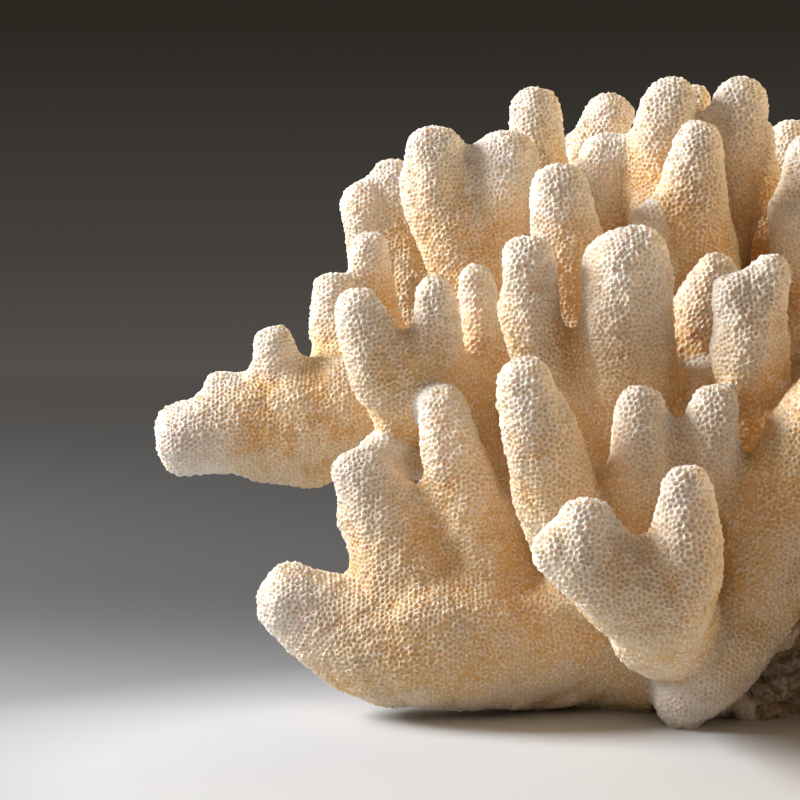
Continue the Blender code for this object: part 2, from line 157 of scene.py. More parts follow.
# The fingers, each from its tip to its root. Each point is (x, y, z, radius) in millimetres.
# The holdfast carries short nubs between the branches, and low toes round the cut.
HOLDFAST_NUBS = (
    ((12, -60, 50, 5.6), (10, -50, 45, 8), (6, -34, 38, 11)),
    ((27, -55, 40, 5.6), (23, -46, 37, 8), (16, -30, 32, 11)),
    ((52, -22, 40, 6), (44, -18, 36, 9), (28, -10, 32, 12)),
    ((44, -26, 70, 5.6), (38, -22, 62, 8), (26, -14, 50, 11)),
    ((50, 28, 60, 5.8), (42, 24, 54, 8.5), (26, 14, 44, 12)),
    ((20, 56, 26, 6), (17, 46, 24, 9), (10, 30, 24, 12)),
    ((-24, 55, 54, 5.8), (-20, 46, 48, 8.5), (-12, 28, 40, 12)),
    ((-58, 18, 26, 6.2), (-48, 14, 26, 9), (-30, 8, 26, 12)),
    ((-49, 30, 62, 5.6), (-42, 26, 56, 8), (-26, 16, 44, 12)),
    ((37, 22, 86, 5.4), (31, 18, 76, 7.5), (18, 10, 56, 12)),
    ((-14, -42, 6, 12), (-10, -28, 14, 14), (-6, -14, 22, 16)),
    ((28, -36, 6, 11), (20, -26, 14, 14), (12, -14, 22, 16)),
    ((44, 4, 6, 11), (32, 2, 14, 14), (18, 0, 22, 16)),
    ((18, 38, 6, 12), (12, 28, 14, 14), (6, 14, 22, 16)),
    ((-36, 26, 6, 11), (-26, 18, 14, 14), (-14, 10, 22, 16)),
    ((-42, -10, 6, 11), (-32, -8, 14, 14), (-16, -4, 22, 16)),
)

# The main branches
BRANCHES = {
    "low_left_branch": (
        ((-111, -46, 24, 8.3), (-104, -46, 20, 10.5), (-93, -47, 16, 13.3), (-80, -48, 17, 15),
         (-62, -42, 17, 16.5), (-44, -37, 17, 17), (-29, -41, 13, 15)),
        ((-97, -42, 51, 6.5), (-94, -42, 45, 8.5), (-90, -43, 35, 9.7), (-85, -46, 21, 12.5)),
        ((-93, -34, 54, 5.3), (-92, -36, 46, 7), (-90, -38, 36, 8.5)),
        ((-98, -40, 42, 4.2), (-94, -42, 39, 7)),
        ((-80, -45, 66, 5.2), (-78, -45, 58, 6.7), (-75, -44, 47, 8.3), (-71, -43, 36, 10),
         (-65, -42, 20, 13)),
    ),
    "left_arm": (
        ((-136.8, -8, 56, 8.8), (-126, -6, 58, 11), (-112, -4, 58, 14), (-98, -2, 61, 14.5),
         (-76, 0, 58, 14.5), (-46, 3, 44, 17)),
        ((-129, -5, 66, 5.5), (-122, -5, 62, 8)),
        ((-118, -5, 77, 4.8), (-117, -5, 70, 6), (-112, -5, 62, 9)),
        ((-105, 5, 89, 4.8), (-104, 5, 80, 6), (-100, 3, 67, 9)),
        ((-96, 11, 99, 4.5), (-96, 11, 89, 5.7), (-93, 8, 74, 8.5), (-86, 4, 62, 11)),
        ((-116, 14, 66, 6), (-108, 8, 61, 9)),
    ),
    "front_left_paw": (
        ((-98, -36, 86.5, 5.2), (-95.5, -36, 79.5, 6.8), (-89, -33, 70, 9.4), (-78, -24, 62, 10.5),
         (-50, -8, 44, 12)),
        ((-81.5, -36, 90, 4.5), (-81.2, -36, 83, 5.3), (-80, -34, 74, 6.8), (-74, -26, 63, 9)),
        ((-72.5, -24, 92.5, 4.2), (-71, -24, 85, 4.9), (-69, -22, 75, 6), (-66, -18, 62, 8.5)),
    ),
    "centre_club": (
        ((-41.2, -50, 95, 9.2), (-41, -49, 86, 10), (-40, -45, 75, 10.3), (-36, -34, 58, 12),
         (-28, -20, 40, 13)),
        ((-45.5, -50, 97.5, 5), (-45, -50, 92, 6.5)),
        ((-38.5, -51, 99.5, 5.8), (-39, -50, 92, 7.8)),
        ((-61.8, -48, 97, 6), (-61.6, -48, 91, 6.3), (-61, -47, 85, 6.4), (-59.2, -45, 77.5, 6.5),
         (-54, -39, 67, 8.5), (-40, -24, 48, 12)),
    ),
    "front_branch": (
        ((-34, -96, 55, 5.3), (-34, -96, 46, 6.8), (-35, -94, 37, 8.3), (-38, -89, 31, 9.5),
         (-34, -66, 24, 12), (-28, -36, 22, 14)),
        ((-53, -95, 48, 5.8), (-52, -94, 42, 8), (-47, -92, 37, 9.5), (-40, -87, 32, 10.5)),
        ((-57, -94, 43, 6), (-50, -93, 38, 8)),
        ((-64, -76, 74, 5.4), (-62, -76, 67, 7.2), (-59, -73, 58, 8.3), (-55, -67, 47, 9.5),
         (-46, -54, 33, 11), (-32, -34, 24, 12)),
        ((-40, -70, 68, 5.1), (-40, -70, 60, 6.5), (-37, -66, 49, 8.3), (-31, -56, 38, 10.5),
         (-24, -34, 28, 12)),
        ((-25, -70, 68, 5.5), (-27, -70, 60, 7), (-30, -66, 49, 8.5)),
    ),
    "front_right_finger": (
        ((8, -71, 84, 7.3), (5, -71, 77, 9.3), (-1, -70, 67, 10.2), (-7, -69, 56, 10.4),
         (-11, -66, 43, 10.6), (-14, -60, 30, 10.5), (-12, -42, 22, 12)),
        ((-29, -57, 6, 6.5), (-25, -58, 11, 8), (-17, -60, 24, 10)),
        ((17, -66, 70, 6), (9, -66, 60, 7.6), (-2, -66, 49, 9)),
    ),
    "right_centre_paw": (
        ((-19, -60, 90, 5.8), (-17, -60, 83, 8), (-16, -57, 73, 7.8), (-14, -46, 60, 8.5),
         (-12, -28, 44, 10)),
        ((-13, -60, 95, 4.6), (-15, -60, 88, 6)),
        ((-20, -32, 94, 5), (-23, -32, 87, 6.6), (-23, -30, 76, 8), (-18, -22, 60, 10)),
        ((-22, -35, 71, 7), (-19, -44, 66, 8.5), (-15, -53, 66, 7.5)),
    ),
    "heart_plate": (
        ((-81, 5, 121, 7.3), (-80, 5, 112, 8.8), (-75, 4, 99, 8.8), (-67, 2, 84, 9), (-48, 0, 60, 11)),
        ((-64, 5, 119, 7.8), (-65, 5, 109, 8.8), (-70, 4, 96, 8.8)),
        ((-73, 6, 112, 7.5), (-72, 4, 100, 8.5)),
        ((-69, 14, 120, 5), (-70, 11, 110, 6.5), (-70, 6, 98, 8)),
    ),
    "back_left_paw": (
        ((-98, 45, 109, 6.3), (-95, 45, 99, 7.6), (-88, 42, 81, 9), (-70, 30, 60, 11.5),
         (-40, 14, 44, 13)),
        ((-91, 47, 115, 6), (-89, 46, 103, 7.6), (-86, 42, 86, 9)),
        ((-78, 60, 96, 6.5), (-79, 56, 86, 8), (-80, 46, 74, 9)),
    ),
    "top_left_paw": (
        ((-56, 25, 132, 6.2), (-56, 25, 123, 6.8), (-54, 24, 110, 7.8), (-48, 18, 90, 9.5),
         (-34, 8, 66, 11)),
        ((-53, -18, 112, 6.9), (-52, -18, 105, 7.8), (-49, -15, 95, 8.8), (-42, -6, 80, 10.5)),
        ((-41, 7, 120, 6.2), (-42, 8, 111, 6.6), (-43, 10, 98, 8), (-42, 10, 84, 10)),
    ),
    "top_paw": (
        ((-26, 3, 133, 6), (-28, 3, 125, 7.5), (-28, 2, 112, 8.5), (-24, 1, 96, 10), (-18, 0, 70, 12)),
        ((-9.8, 5, 132.4, 6.7), (-10.8, 5, 122, 7.7), (-13.5, 4, 110, 8.5), (-17, 2, 94, 10)),
        ((-22, -16, 123, 5.4), (-23, -16, 114, 7.6), (-23, -14, 103, 9.3), (-20, -9, 90, 10.5)),
        ((-32, -16, 105, 5.4), (-27, -14, 98, 7)),
    ),
    "back_upper_paw": (
        ((-35, 60, 132, 6.2), (-38, 60, 124, 6.8), (-36, 55, 110, 8.5), (-28, 43, 90, 10),
         (-12, 24, 64, 12)),
        ((-44, 62, 122, 5), (-40, 59, 114, 6.5)),
        ((-16, 40, 135, 4.8), (-17, 39, 123, 6), (-19, 38, 108, 7.5), (-22, 38, 92, 9)),
        ((-20, 66, 112, 6.5), (-23, 60, 102, 8), (-26, 48, 90, 9)),
    ),
    "top_right_paw": (
        ((5, -10, 119, 6.8), (3, -10, 107, 7.5), (3, -10, 95, 8.5), (4, -6, 80, 10), (4, -3, 62, 12)),
        ((0, -14, 106, 5.5), (2, -12, 96, 7)),
        ((-3, 23, 126, 4.9), (-3, 23, 115, 5.8), (-2, 20, 101, 7.2), (0, 10, 84, 9)),
        ((20, 0, 128, 6.5), (18, 0, 117, 7.8), (14, -1, 103, 9), (9, -2, 88, 10)),
        ((24, -20, 116, 6), (21, -18, 106, 7.5), (14, -12, 92, 9)),
    ),
    "right_front_paw": (
        ((48, -64, 94, 6.8), (47, -61, 83, 8.6), (43, -52, 69, 10), (34, -38, 54, 12),
         (20, -20, 40, 13)),
        ((66, -48, 97, 6), (63, -47, 87, 7.6), (55, -44, 74, 9)),
        ((29, -65, 90, 5.6), (31, -60, 79, 7.4), (36, -50, 67, 9)),
        ((52, -74, 76, 5.2), (49, -66, 70, 7)),
    ),
    "right_low_branch": (
        ((110, -52, 27, 8.5), (98, -51, 23, 12), (82, -49, 20, 14), (62, -42, 19, 15.5),
         (36, -28, 20, 17)),
        ((84, -56, 66, 6), (82, -55, 56, 7.6), (79, -52, 42, 9), (76, -48, 28, 12)),
        ((107, -46, 58, 5.6), (104, -46, 48, 7.2), (98, -47, 36, 9.5)),
        ((68, -84, 37, 6.6), (66, -78, 31, 8.8), (64, -64, 24, 11), (60, -46, 20, 13)),
        ((94, -75, 31, 5.6), (88, -67, 26, 8), (79, -56, 22, 10)),
    ),
    "low_front_finger": (
        ((28, -92, 36, 6.8), (26, -84, 30, 9), (22, -70, 24, 11), (12, -40, 20, 13)),
        ((38, -80, 52, 5.6), (34, -76, 42, 7.4), (27, -72, 30, 9.5)),
        ((18, -85, 59, 5.8), (18, -79, 49, 7.6), (19, -70, 37, 9.4)),
    ),
    "upper_front_paw": (
        ((21, -50, 113, 6.6), (20, -47, 102, 8), (17, -40, 88, 9.5), (12, -26, 70, 11),
         (6, -14, 50, 12)),
        ((8, -48, 104, 5.8), (9, -44, 95, 7.2), (13, -37, 84, 9)),
        ((34, -44, 107, 6), (30, -41, 97, 7.4), (22, -36, 84, 9)),
    ),
    "low_right_finger": (
        ((90, 28, 28, 8), (76, 24, 24, 10.5), (56, 17, 22, 12.5), (32, 8, 22, 14)),
        ((76, 34, 50, 6.2), (73, 30, 39, 8), (66, 23, 28, 10)),
        ((96, 14, 39, 5.4), (88, 20, 31, 7.6)),
    ),
    "right_arm": (
        ((136, 2, 64, 7.6), (126, 3, 62, 10.4), (110, 6, 58, 13), (88, 8, 53, 14.5),
         (62, 8, 47, 15.5), (34, 6, 40, 17)),
        ((130, 24, 60, 6.4), (122, 18, 59, 8.6), (108, 11, 57, 11)),
        ((103, 12, 94, 5.4), (103, 12, 83, 6.8), (101, 10, 70, 9)),
        ((124, -2, 88, 5), (122, -1, 79, 6.4), (117, 2, 68, 9)),
        ((84, 2, 84, 5.6), (85, 4, 74, 7.4), (84, 6, 62, 10)),
    ),
    "right_upper_paw": (
        ((62, 2, 120, 7), (60, 3, 109, 8.8), (54, 4, 94, 10), (42, 5, 77, 11.5), (22, 4, 54, 13)),
        ((86, 8, 112, 6), (81, 8, 102, 7.8), (70, 7, 90, 9)),
        ((56, 32, 117, 6), (55, 27, 107, 7.8), (50, 16, 92, 9.5)),
        ((42, -14, 114, 5.6), (42, -11, 104, 7.2), (42, -4, 90, 9)),
    ),
    "right_back_branch": (
        ((96, 76, 60, 7.4), (86, 70, 55, 10.4), (72, 60, 48, 12.5), (56, 46, 41, 14), (28, 24, 36, 16)),
        ((68, 66, 88, 6), (68, 64, 77, 7.6), (66, 58, 62, 10)),
        ((96, 56, 84, 5.6), (92, 56, 74, 7.2), (84, 58, 62, 9)),
        ((56, 92, 54, 6.8), (57, 84, 49, 9), (58, 68, 44, 11)),
        ((80, 42, 64, 5.8), (74, 44, 56, 8)),
        ((79, 91, 53, 5.6), (76, 83, 49, 7.8), (70, 70, 45, 10)),
    ),
    "back_right_paw": (
        ((30, 66, 124, 6.6), (28, 61, 113, 8.2), (24, 50, 96, 9.8), (18, 36, 78, 11.5),
         (10, 20, 56, 13)),
        ((14, 70, 126, 6.2), (14, 66, 114, 7.6), (17, 55, 98, 9)),
        ((40, 48, 112, 5.8), (36, 46, 102, 7.4), (28, 42, 88, 9.5)),
    ),
    "back_branch": (
        ((-4, 106, 54, 7.4), (-4, 96, 49, 10), (-3, 80, 42, 12.5), (-2, 60, 37, 14.5), (-2, 32, 34, 16)),
        ((18, 90, 80, 6), (15, 86, 70, 7.6), (8, 78, 56, 10)),
        ((-20, 86, 82, 6.2), (-17, 82, 71, 8), (-10, 74, 56, 10.5)),
        ((22, 92, 40, 6.6), (14, 86, 38, 9)),
    ),
    "back_low_left_branch": (
        ((-70, 92, 32, 7), (-64, 82, 29, 9.8), (-55, 68, 25, 12.5), (-44, 52, 24, 14),
         (-24, 28, 26, 16)),
        ((-62, 78, 66, 6), (-60, 75, 56, 7.6), (-56, 69, 40, 10)),
        ((-40, 92, 40, 6.4), (-43, 82, 34, 9)),
        ((-78, 56, 40, 6), (-70, 56, 34, 8.4), (-60, 56, 28, 11)),
    ),
}


class CoralSettings(bpy.types.PropertyGroup):
    """Sizes and colours of the coral."""

    spacing: bpy.props.FloatProperty(
        name="Corallite Spacing", description="Distance between the middles of two corallites",
        default=0.00128, min=0.0008, max=0.003, precision=5, subtype="DISTANCE", unit="LENGTH")
    pit_depth: bpy.props.FloatProperty(
        name="Pit Depth", description="How far each corallite is sunk below its walls",
        default=0.00019, min=0.0, max=0.001, precision=5, subtype="DISTANCE", unit="LENGTH")
    wall_height: bpy.props.FloatProperty(
        name="Wall Height", description="How far the walls and their spines stand out",
        default=0.00030, min=0.0, max=0.001, precision=5, subtype="DISTANCE", unit="LENGTH")
    lump_height: bpy.props.FloatProperty(
        name="Lump Height", description="Height of the low swellings on the fingers",
        default=0.00026, min=0.0, max=0.003, precision=5, subtype="DISTANCE", unit="LENGTH")
    web_radius: bpy.props.FloatProperty(
        name="Web Radius", description="Radius of the soft web in the crotches between fingers",
        default=0.0009, min=0.0, max=0.005, precision=4, subtype="DISTANCE", unit="LENGTH")
    skin_voxel: bpy.props.FloatProperty(
        name="Skin Voxel", description="Size of the cells in which the fingers are fused",
        default=0.0010, min=0.0006, max=0.003, precision=4, subtype="DISTANCE", unit="LENGTH")
    wall_colour: bpy.props.FloatVectorProperty(
        name="Wall Colour", description="Colour of the walls between the corallites",
        default=(0.87, 0.73, 0.53), min=0.0, max=1.0, subtype="COLOR")
    # Golden colour of random patches, and painted warm shade in the crevices and hollows between the
    # fingers
    golden_and_shade_colour: bpy.props.FloatVectorProperty(
        name="Sheltered Colour", description="Colour of the walls between the fingers",
        default=(0.78, 0.48, 0.18), min=0.0, max=1.0, subtype="COLOR")
    tip_colour: bpy.props.FloatVectorProperty(
        name="Tip Colour", description="Colour of the walls at the ends of the fingers",
        default=(0.95, 0.93, 0.90), min=0.0, max=1.0, subtype="COLOR")
    # Pit colour: its ochre is a painted warm shade inside the corallites
    pit_shade_colour: bpy.props.FloatVectorProperty(
        name="Pit Colour", description="Colour inside the corallites",
        default=(0.76, 0.48, 0.17), min=0.0, max=1.0, subtype="COLOR")
    dirt_colour: bpy.props.FloatVectorProperty(
        name="Dirt Colour", description="Colour of the brown crust and the dark specks",
        default=(0.19, 0.125, 0.065), min=0.0, max=1.0, subtype="COLOR")
    # Stain and shade colour: brown stain in random patches, painted shade deep in the crevices, and the
    # darkening towards the bottom of the coral
    stain_and_shade_colour: bpy.props.FloatVectorProperty(
        name="Stain Colour", description="Colour of the stained parts near the foot",
        default=(0.36, 0.22, 0.10), min=0.0, max=1.0, subtype="COLOR")


class StageSettings(bpy.types.PropertyGroup):
    """Camera, lights and floor."""

    lens: bpy.props.FloatProperty(
        name="Lens", description="Focal length of the camera",
        default=100.0, min=20.0, max=300.0, subtype="DISTANCE_CAMERA", unit="CAMERA")
    distance: bpy.props.FloatProperty(
        name="Distance", description="Distance from the camera to the plane through the coral's middle",
        default=0.520, min=0.1, max=5.0, subtype="DISTANCE", unit="LENGTH")
    elevation: bpy.props.FloatProperty(
        name="Elevation", description="How far the camera looks down",
        default=math.radians(5.0), min=0.0, max=math.radians(80.0), subtype="ANGLE", unit="ROTATION")
    aim: bpy.props.FloatVectorProperty(
        name="Aim", description="Point in the middle of the frame",
        default=(-0.089, 0.0, 0.064), subtype="TRANSLATION", unit="LENGTH")
    key_power: bpy.props.FloatProperty(
        name="Key Light", description="Power of the large light at the upper left",
        default=13.8, min=0.0, max=500.0, unit="POWER")
    fill_power: bpy.props.FloatProperty(
        name="Fill Light", description="Power of the warm light at the right",
        default=7.2, min=0.0, max=500.0, unit="POWER")
    front_power: bpy.props.FloatProperty(
        name="Front Light", description="Power of the broad soft light at the front left",
        default=1.7, min=0.0, max=500.0, unit="POWER")
    floor_colour: bpy.props.FloatVectorProperty(
        name="Floor Colour", description="Colour of the plain floor",
        default=(0.68, 0.71, 0.75), min=0.0, max=1.0, subtype="COLOR")
    backdrop_low: bpy.props.FloatVectorProperty(
        name="Backdrop Low", description="Light of the backdrop near the floor",
        default=(0.103, 0.094, 0.085), min=0.0, max=1.0, subtype="COLOR")
    backdrop_high: bpy.props.FloatVectorProperty(
        name="Backdrop High", description="Light of the backdrop above",
        default=(0.0252, 0.0203, 0.0152), min=0.0, max=1.0, subtype="COLOR")


def smooth_path(points):
    """Runs a Catmull-Rom curve through the listed points, with its radius, every few mm."""
    listed = np.array(points, dtype=float)
    first = 2 * listed[0] - listed[1]
    last = 2 * listed[-1] - listed[-2]
    guide = np.vstack([first, listed, last])
    rows = []
    for i in range(len(listed) - 1):
        a, b, c, d = guide[i:i + 4]
        length = np.linalg.norm(c[:3] - b[:3])
        steps = max(2, int(round(length / PATH_STEP)))
        t = (np.arange(steps) / steps)[:, None]
        linear = (c - a) * t
        square = (2 * a - 5 * b + 4 * c - d) * t ** 2
        cubic = (3 * b - a - 3 * c + d) * t ** 3
        rows.append(0.5 * (2 * b + linear + square + cubic))
    rows.append(listed[-1:])
    return np.vstack(rows)


def add_round_tip(path):
    """Puts a blunt, slightly flattened cap before the first point of the path."""
    centre = path[0, :3]
    radius = path[0, 3]
    way = centre - path[1, :3]
    way = way / np.linalg.norm(way)
    share = np.array([0.97, 0.92, 0.83, 0.70, 0.52, 0.28])
    cap = np.empty((len(share), 4))
    cap[:, :3] = centre + way * (share * radius)[:, None]
    cap[:, 3] = radius * (1 - share ** TIP_FLATNESS) ** (1 / TIP_FLATNESS)
    return np.vstack([cap, path])


def lumps_for(path, chance):
    """Chooses low lumps on a finger: (centre, radius) of balls half sunk in its side."""
    balls = []
    for _ in range(LUMPS_PER_FINGER):
        along = chance.uniform(0.0, 0.6)
        row = path[int(along * (len(path) - 1))]
        way = chance.normal(size=3)
        way = way / np.linalg.norm(way)
        size = row[3] * LUMP_SIZE * chance.uniform(0.85, 1.1)
        balls.append((row[:3] + way * row[3] * LUMP_OFFSET, size))
    return balls


def closed_grid(grid, start, end):
    """Closes a grid of rings with a pole at each end. Returns points and triangles.

    grid[i, j] is the point of ring i at step j round it, and the rings run from start to end.
    """
    rings, sides = grid.shape[:2]
    points = np.vstack([grid.reshape(-1, 3), start, end])
    i, j = np.meshgrid(np.arange(rings - 1), np.arange(sides), indexing="ij")
    a = i * sides + j
    b = i * sides + (j + 1) % sides
    c = a + sides
    d = b + sides
    walls = np.concatenate([np.stack(three, -1).reshape(-1, 3) for three in ((a, b, d), (a, d, c))])
    ring = np.arange(sides)
    after = (ring + 1) % sides
    first_pole = np.stack([np.full(sides, rings * sides), after, ring], -1)
    base = (rings - 1) * sides
    last_pole = np.stack([np.full(sides, rings * sides + 1), base + ring, base + after], -1)
    return points, np.concatenate([walls, first_pole, last_pole])


def tube_surface(path, sides=18):
    """Carries a circle along the path. Point (i, j) is path i plus its radius times the unit
    vector at angle 2 pi j / sides, in the plane across the path there."""
    along = np.gradient(path[:, :3], axis=0)
    along /= np.linalg.norm(along, axis=1, keepdims=True)
    mean = along.mean(axis=0)
    helper = np.eye(3)[np.argmin(np.abs(mean))]
    across = np.cross(along, helper)
    across /= np.linalg.norm(across, axis=1, keepdims=True)
    up = np.cross(along, across)
    angle = 2 * np.pi * np.arange(sides) / sides
    spoke = across[:, None] * np.cos(angle)[None, :, None] + up[:, None] * np.sin(angle)[None, :, None]
    grid = path[:, None, :3] + path[:, None, 3:4] * spoke
    return closed_grid(grid, path[0, :3], path[-1, :3])


def ball_surface(centre, radii, rings=10, sides=16):
    """An ellipsoid: point (i, j) stands at polar angle pi i / rings and angle 2 pi j / sides."""
    polar = np.pi * np.arange(1, rings) / rings
    angle = 2 * np.pi * np.arange(sides) / sides
    x = np.sin(polar)[:, None] * np.cos(angle)[None]
    y = np.sin(polar)[:, None] * np.sin(angle)[None]
    z = np.repeat(np.cos(polar)[:, None], sides, axis=1)
    grid = np.stack([x, y, z], -1) * np.array(radii) + np.array(centre)
    top = np.array(centre) + np.array([0, 0, radii[2]])
    bottom = np.array(centre) - np.array([0, 0, radii[2]])
    return closed_grid(grid, top, bottom)


def facing_out(points, corners):
    """Turns a closed form's triangles round where they face inwards."""
    a, b, c = (points[corners[:, k]] for k in range(3))
    volume = np.einsum("ij,ij->i", a, np.cross(b, c)).sum()
    return corners if volume > 0 else corners[:, ::-1]


def coral_forms():
    """Makes every tube, lump and the holdfast's body. Returns their points and triangles in
    metres, and the path samples (x, y, z, radius, branch number, distance from the tip)."""
    chance = np.random.RandomState(LUMP_SEED)
    forms = [ball_surface(HOLDFAST_CENTRE, HOLDFAST_RADII, rings=40, sides=64)]
    samples = []
    families = [HOLDFAST_NUBS] + list(BRANCHES.values())
    for number, fingers in enumerate(families):
        for listed in fingers:
            path = smooth_path(listed)
            forms.append(tube_surface(add_round_tip(path)))
            for centre, radius in lumps_for(path, chance):
                forms.append(ball_surface(centre, (radius, radius, radius)))
            steps = np.linalg.norm(np.diff(path[:, :3], axis=0), axis=1)
            from_tip = np.concatenate([[0.0], np.cumsum(steps)])
            tag = np.full(len(path), number)
            samples.append(np.column_stack([path, tag, from_tip]))
    points = []
    corners = []
    count = 0
    for form_points, form_corners in forms:
        corners.append(facing_out(form_points - form_points.mean(axis=0), form_corners) + count)
        points.append(form_points)
        count += len(form_points)
    return np.vstack(points) * MM, np.vstack(corners), np.vstack(samples)


def mesh_from(name, points, corners):
    """Makes a mesh from arrays of points and triangles."""
    mesh = bpy.data.meshes.new(name)
    mesh.vertices.add(len(points))
    mesh.vertices.foreach_set("co", np.ascontiguousarray(points, dtype=np.float32).ravel())
    mesh.loops.add(3 * len(corners))
    mesh.loops.foreach_set("vertex_index", np.ascontiguousarray(corners, dtype=np.int32).ravel())
    mesh.polygons.add(len(corners))
    mesh.polygons.foreach_set("loop_start", np.arange(0, 3 * len(corners), 3, dtype=np.int32))
    mesh.update(calc_edges=True)
    return mesh


def arrays_of(mesh):
    """Reads a mesh's points and triangles."""
    points = np.empty(3 * len(mesh.vertices), dtype=np.float32)
    mesh.vertices.foreach_get("co", points)
    mesh.calc_loop_triangles()
    corners = np.empty(3 * len(mesh.loop_triangles), dtype=np.int32)
    mesh.loop_triangles.foreach_get("vertices", corners)
    return points.reshape(-1, 3).astype(float), corners.reshape(-1, 3).astype(np.int64)


def shaped(points, corners, modify):
    """Puts arrays in a short-lived object, adds modifiers to it and reads the result."""
    holder = bpy.data.objects.new("draft", mesh_from("draft", points, corners))
    bpy.context.scene.collection.objects.link(holder)
    modify(holder)
    graph = bpy.context.evaluated_depsgraph_get()
    made = bpy.data.meshes.new_from_object(holder.evaluated_get(graph))
    result = arrays_of(made)
    old = holder.data
    bpy.data.objects.remove(holder, do_unlink=True)
    bpy.data.meshes.remove(old)
    bpy.data.meshes.remove(made)
    return result


def add_fuse(holder, voxel):
    """Adds a modifier that fuses the object's forms on a grid of voxels."""
    fuse = holder.modifiers.new("fuse", "REMESH")
    fuse.mode = "VOXEL"
    fuse.voxel_size = voxel


def fuse_skin(points, corners, voxel, swells, smoothing):
    """Fuses closed forms to one skin, then swells it by each listed distance and fuses it again,
    and smooths it the given number of times."""
    def modify(holder):
        add_fuse(holder, voxel)
        for distance in swells:
            swell = holder.modifiers.new("swell", "DISPLACE")
            swell.mid_level = 0.0
            swell.strength = distance
            add_fuse(holder, voxel)
        ease = holder.modifiers.new("smooth", "SMOOTH")
        ease.factor = 0.5
        ease.iterations = smoothing

    return shaped(points, corners, modify)


def gather(corners, weights, count):
    """For each point, the sum of the weights of the triangles round it."""
    return sum(np.bincount(corners[:, k], weights=weights, minlength=count) for k in range(3))


def corner_normals(points, corners):
    """The direction out of the skin at each point, as the mean of its triangles'."""
    a, b, c = (points[corners[:, k]] for k in range(3))
    face = np.cross(b - a, c - a)
    total = np.empty_like(points)
    for axis in range(3):
        total[:, axis] = gather(corners, face[:, axis], len(points))
    return total / np.maximum(np.linalg.norm(total, axis=1, keepdims=True), 1e-20)


def waves(points, length, seed, count=28):
    """A smooth random field of about unit size: a sum of plane waves of one wavelength."""
    chance = np.random.RandomState(seed)
    way = chance.normal(size=(count, 3))
    way /= np.linalg.norm(way, axis=1, keepdims=True)
    phase = chance.uniform(0, 2 * np.pi, count)
    total = np.zeros(len(points))
    for k in range(count):
        total += np.sin(points @ way[k] * (2 * np.pi / length) + phase[k])
    return total * math.sqrt(2.0 / count)


def edge_table(corners, count):
    """Finds the edges that two triangles share: their ends p to q, the two triangles, and the
    corner across from the edge in each. Also returns every edge's key, in order."""
    a = corners.ravel()
    b = corners[:, (1, 2, 0)].ravel()
    c = corners[:, (2, 0, 1)].ravel()
    key = np.minimum(a, b) * count + np.maximum(a, b)
    order = np.argsort(key, kind="stable")
    ranked = key[order]
    start = np.flatnonzero(np.concatenate([[True], ranked[1:] != ranked[:-1]]))
    run = np.diff(np.append(start, len(ranked)))
    shared = start[run == 2]
    one = order[shared]
    two = order[shared + 1]
    return {
        "p": a[one], "q": b[one], "c": c[one], "d": c[two],
        "one": one, "two": two, "keys": ranked[start],
    }


def slope(p, q, tip):
    """The cotangent of the angle at tip between p and q, for rows of points."""
    one = p - tip
    two = q - tip
    height = np.maximum(np.linalg.norm(np.cross(one, two), axis=1), 1e-20)
    return np.einsum("ij,ij->i", one, two) / height


def flip_edges(points, corners, chance, passes):
    """Turns edges whose two facing angles add up to over a half turn. In each pass a triangle
    takes part in one turn at most."""
    count = len(points)
    for _ in range(passes):
        t = edge_table(corners, count)
        p, q, c, d = (points[t[k]] for k in "pqcd")
        worst = slope(p, q, c) + slope(p, q, d)
        face_one = np.cross(q - p, c - p)
        face_two = np.cross(p - q, d - q)
        level = np.einsum("ij,ij->i", face_one, face_two) > 0
        key = np.minimum(t["c"], t["d"]) * count + np.maximum(t["c"], t["d"])
        place = np.minimum(np.searchsorted(t["keys"], key), len(t["keys"]) - 1)
        free = t["keys"][place] != key
        wanted = np.flatnonzero((worst < LEAST_SLOPE) & level & free & (t["c"] != t["d"]))
        if len(wanted) < FEW_TURNS:
            break
        wanted = wanted[chance.permutation(len(wanted))]
        faces = np.stack([t["one"][wanted] // 3, t["two"][wanted] // 3], 1)
        number = np.arange(len(wanted))
        owner = np.full(len(corners), -1)
        owner[faces.ravel()] = np.repeat(number, 2)
        chosen = wanted[(owner[faces] == number[:, None]).all(axis=1)]
        chosen = chosen[np.unique(key[chosen], return_index=True)[1]]
        one = t["one"][chosen] // 3
        two = t["two"][chosen] // 3
        corners = corners.copy()
        corners[one] = np.stack([t["c"][chosen], t["p"][chosen], t["d"][chosen]], 1)
        corners[two] = np.stack([t["d"][chosen], t["q"][chosen], t["c"][chosen]], 1)
    return corners


def slide_points(points, corners, times, share=0.7):
    """Moves each point along the skin towards the middle of the triangles round it."""
    for _ in range(times):
        a, b, c = (points[corners[:, k]] for k in range(3))
        cross = np.cross(b - a, c - a)
        area = np.linalg.norm(cross, axis=1)
        middle = (a + b + c) / 3
        weight = gather(corners, area, len(points))
        target = np.empty_like(points)
        for axis in range(3):
            target[:, axis] = gather(corners, area * middle[:, axis], len(points))
        target /= np.maximum(weight, 1e-30)[:, None]
        normal = corner_normals(points, corners)
        move = target - points
        move -= normal * np.einsum("ij,ij->i", move, normal)[:, None]
        points = points + share * move
    return points


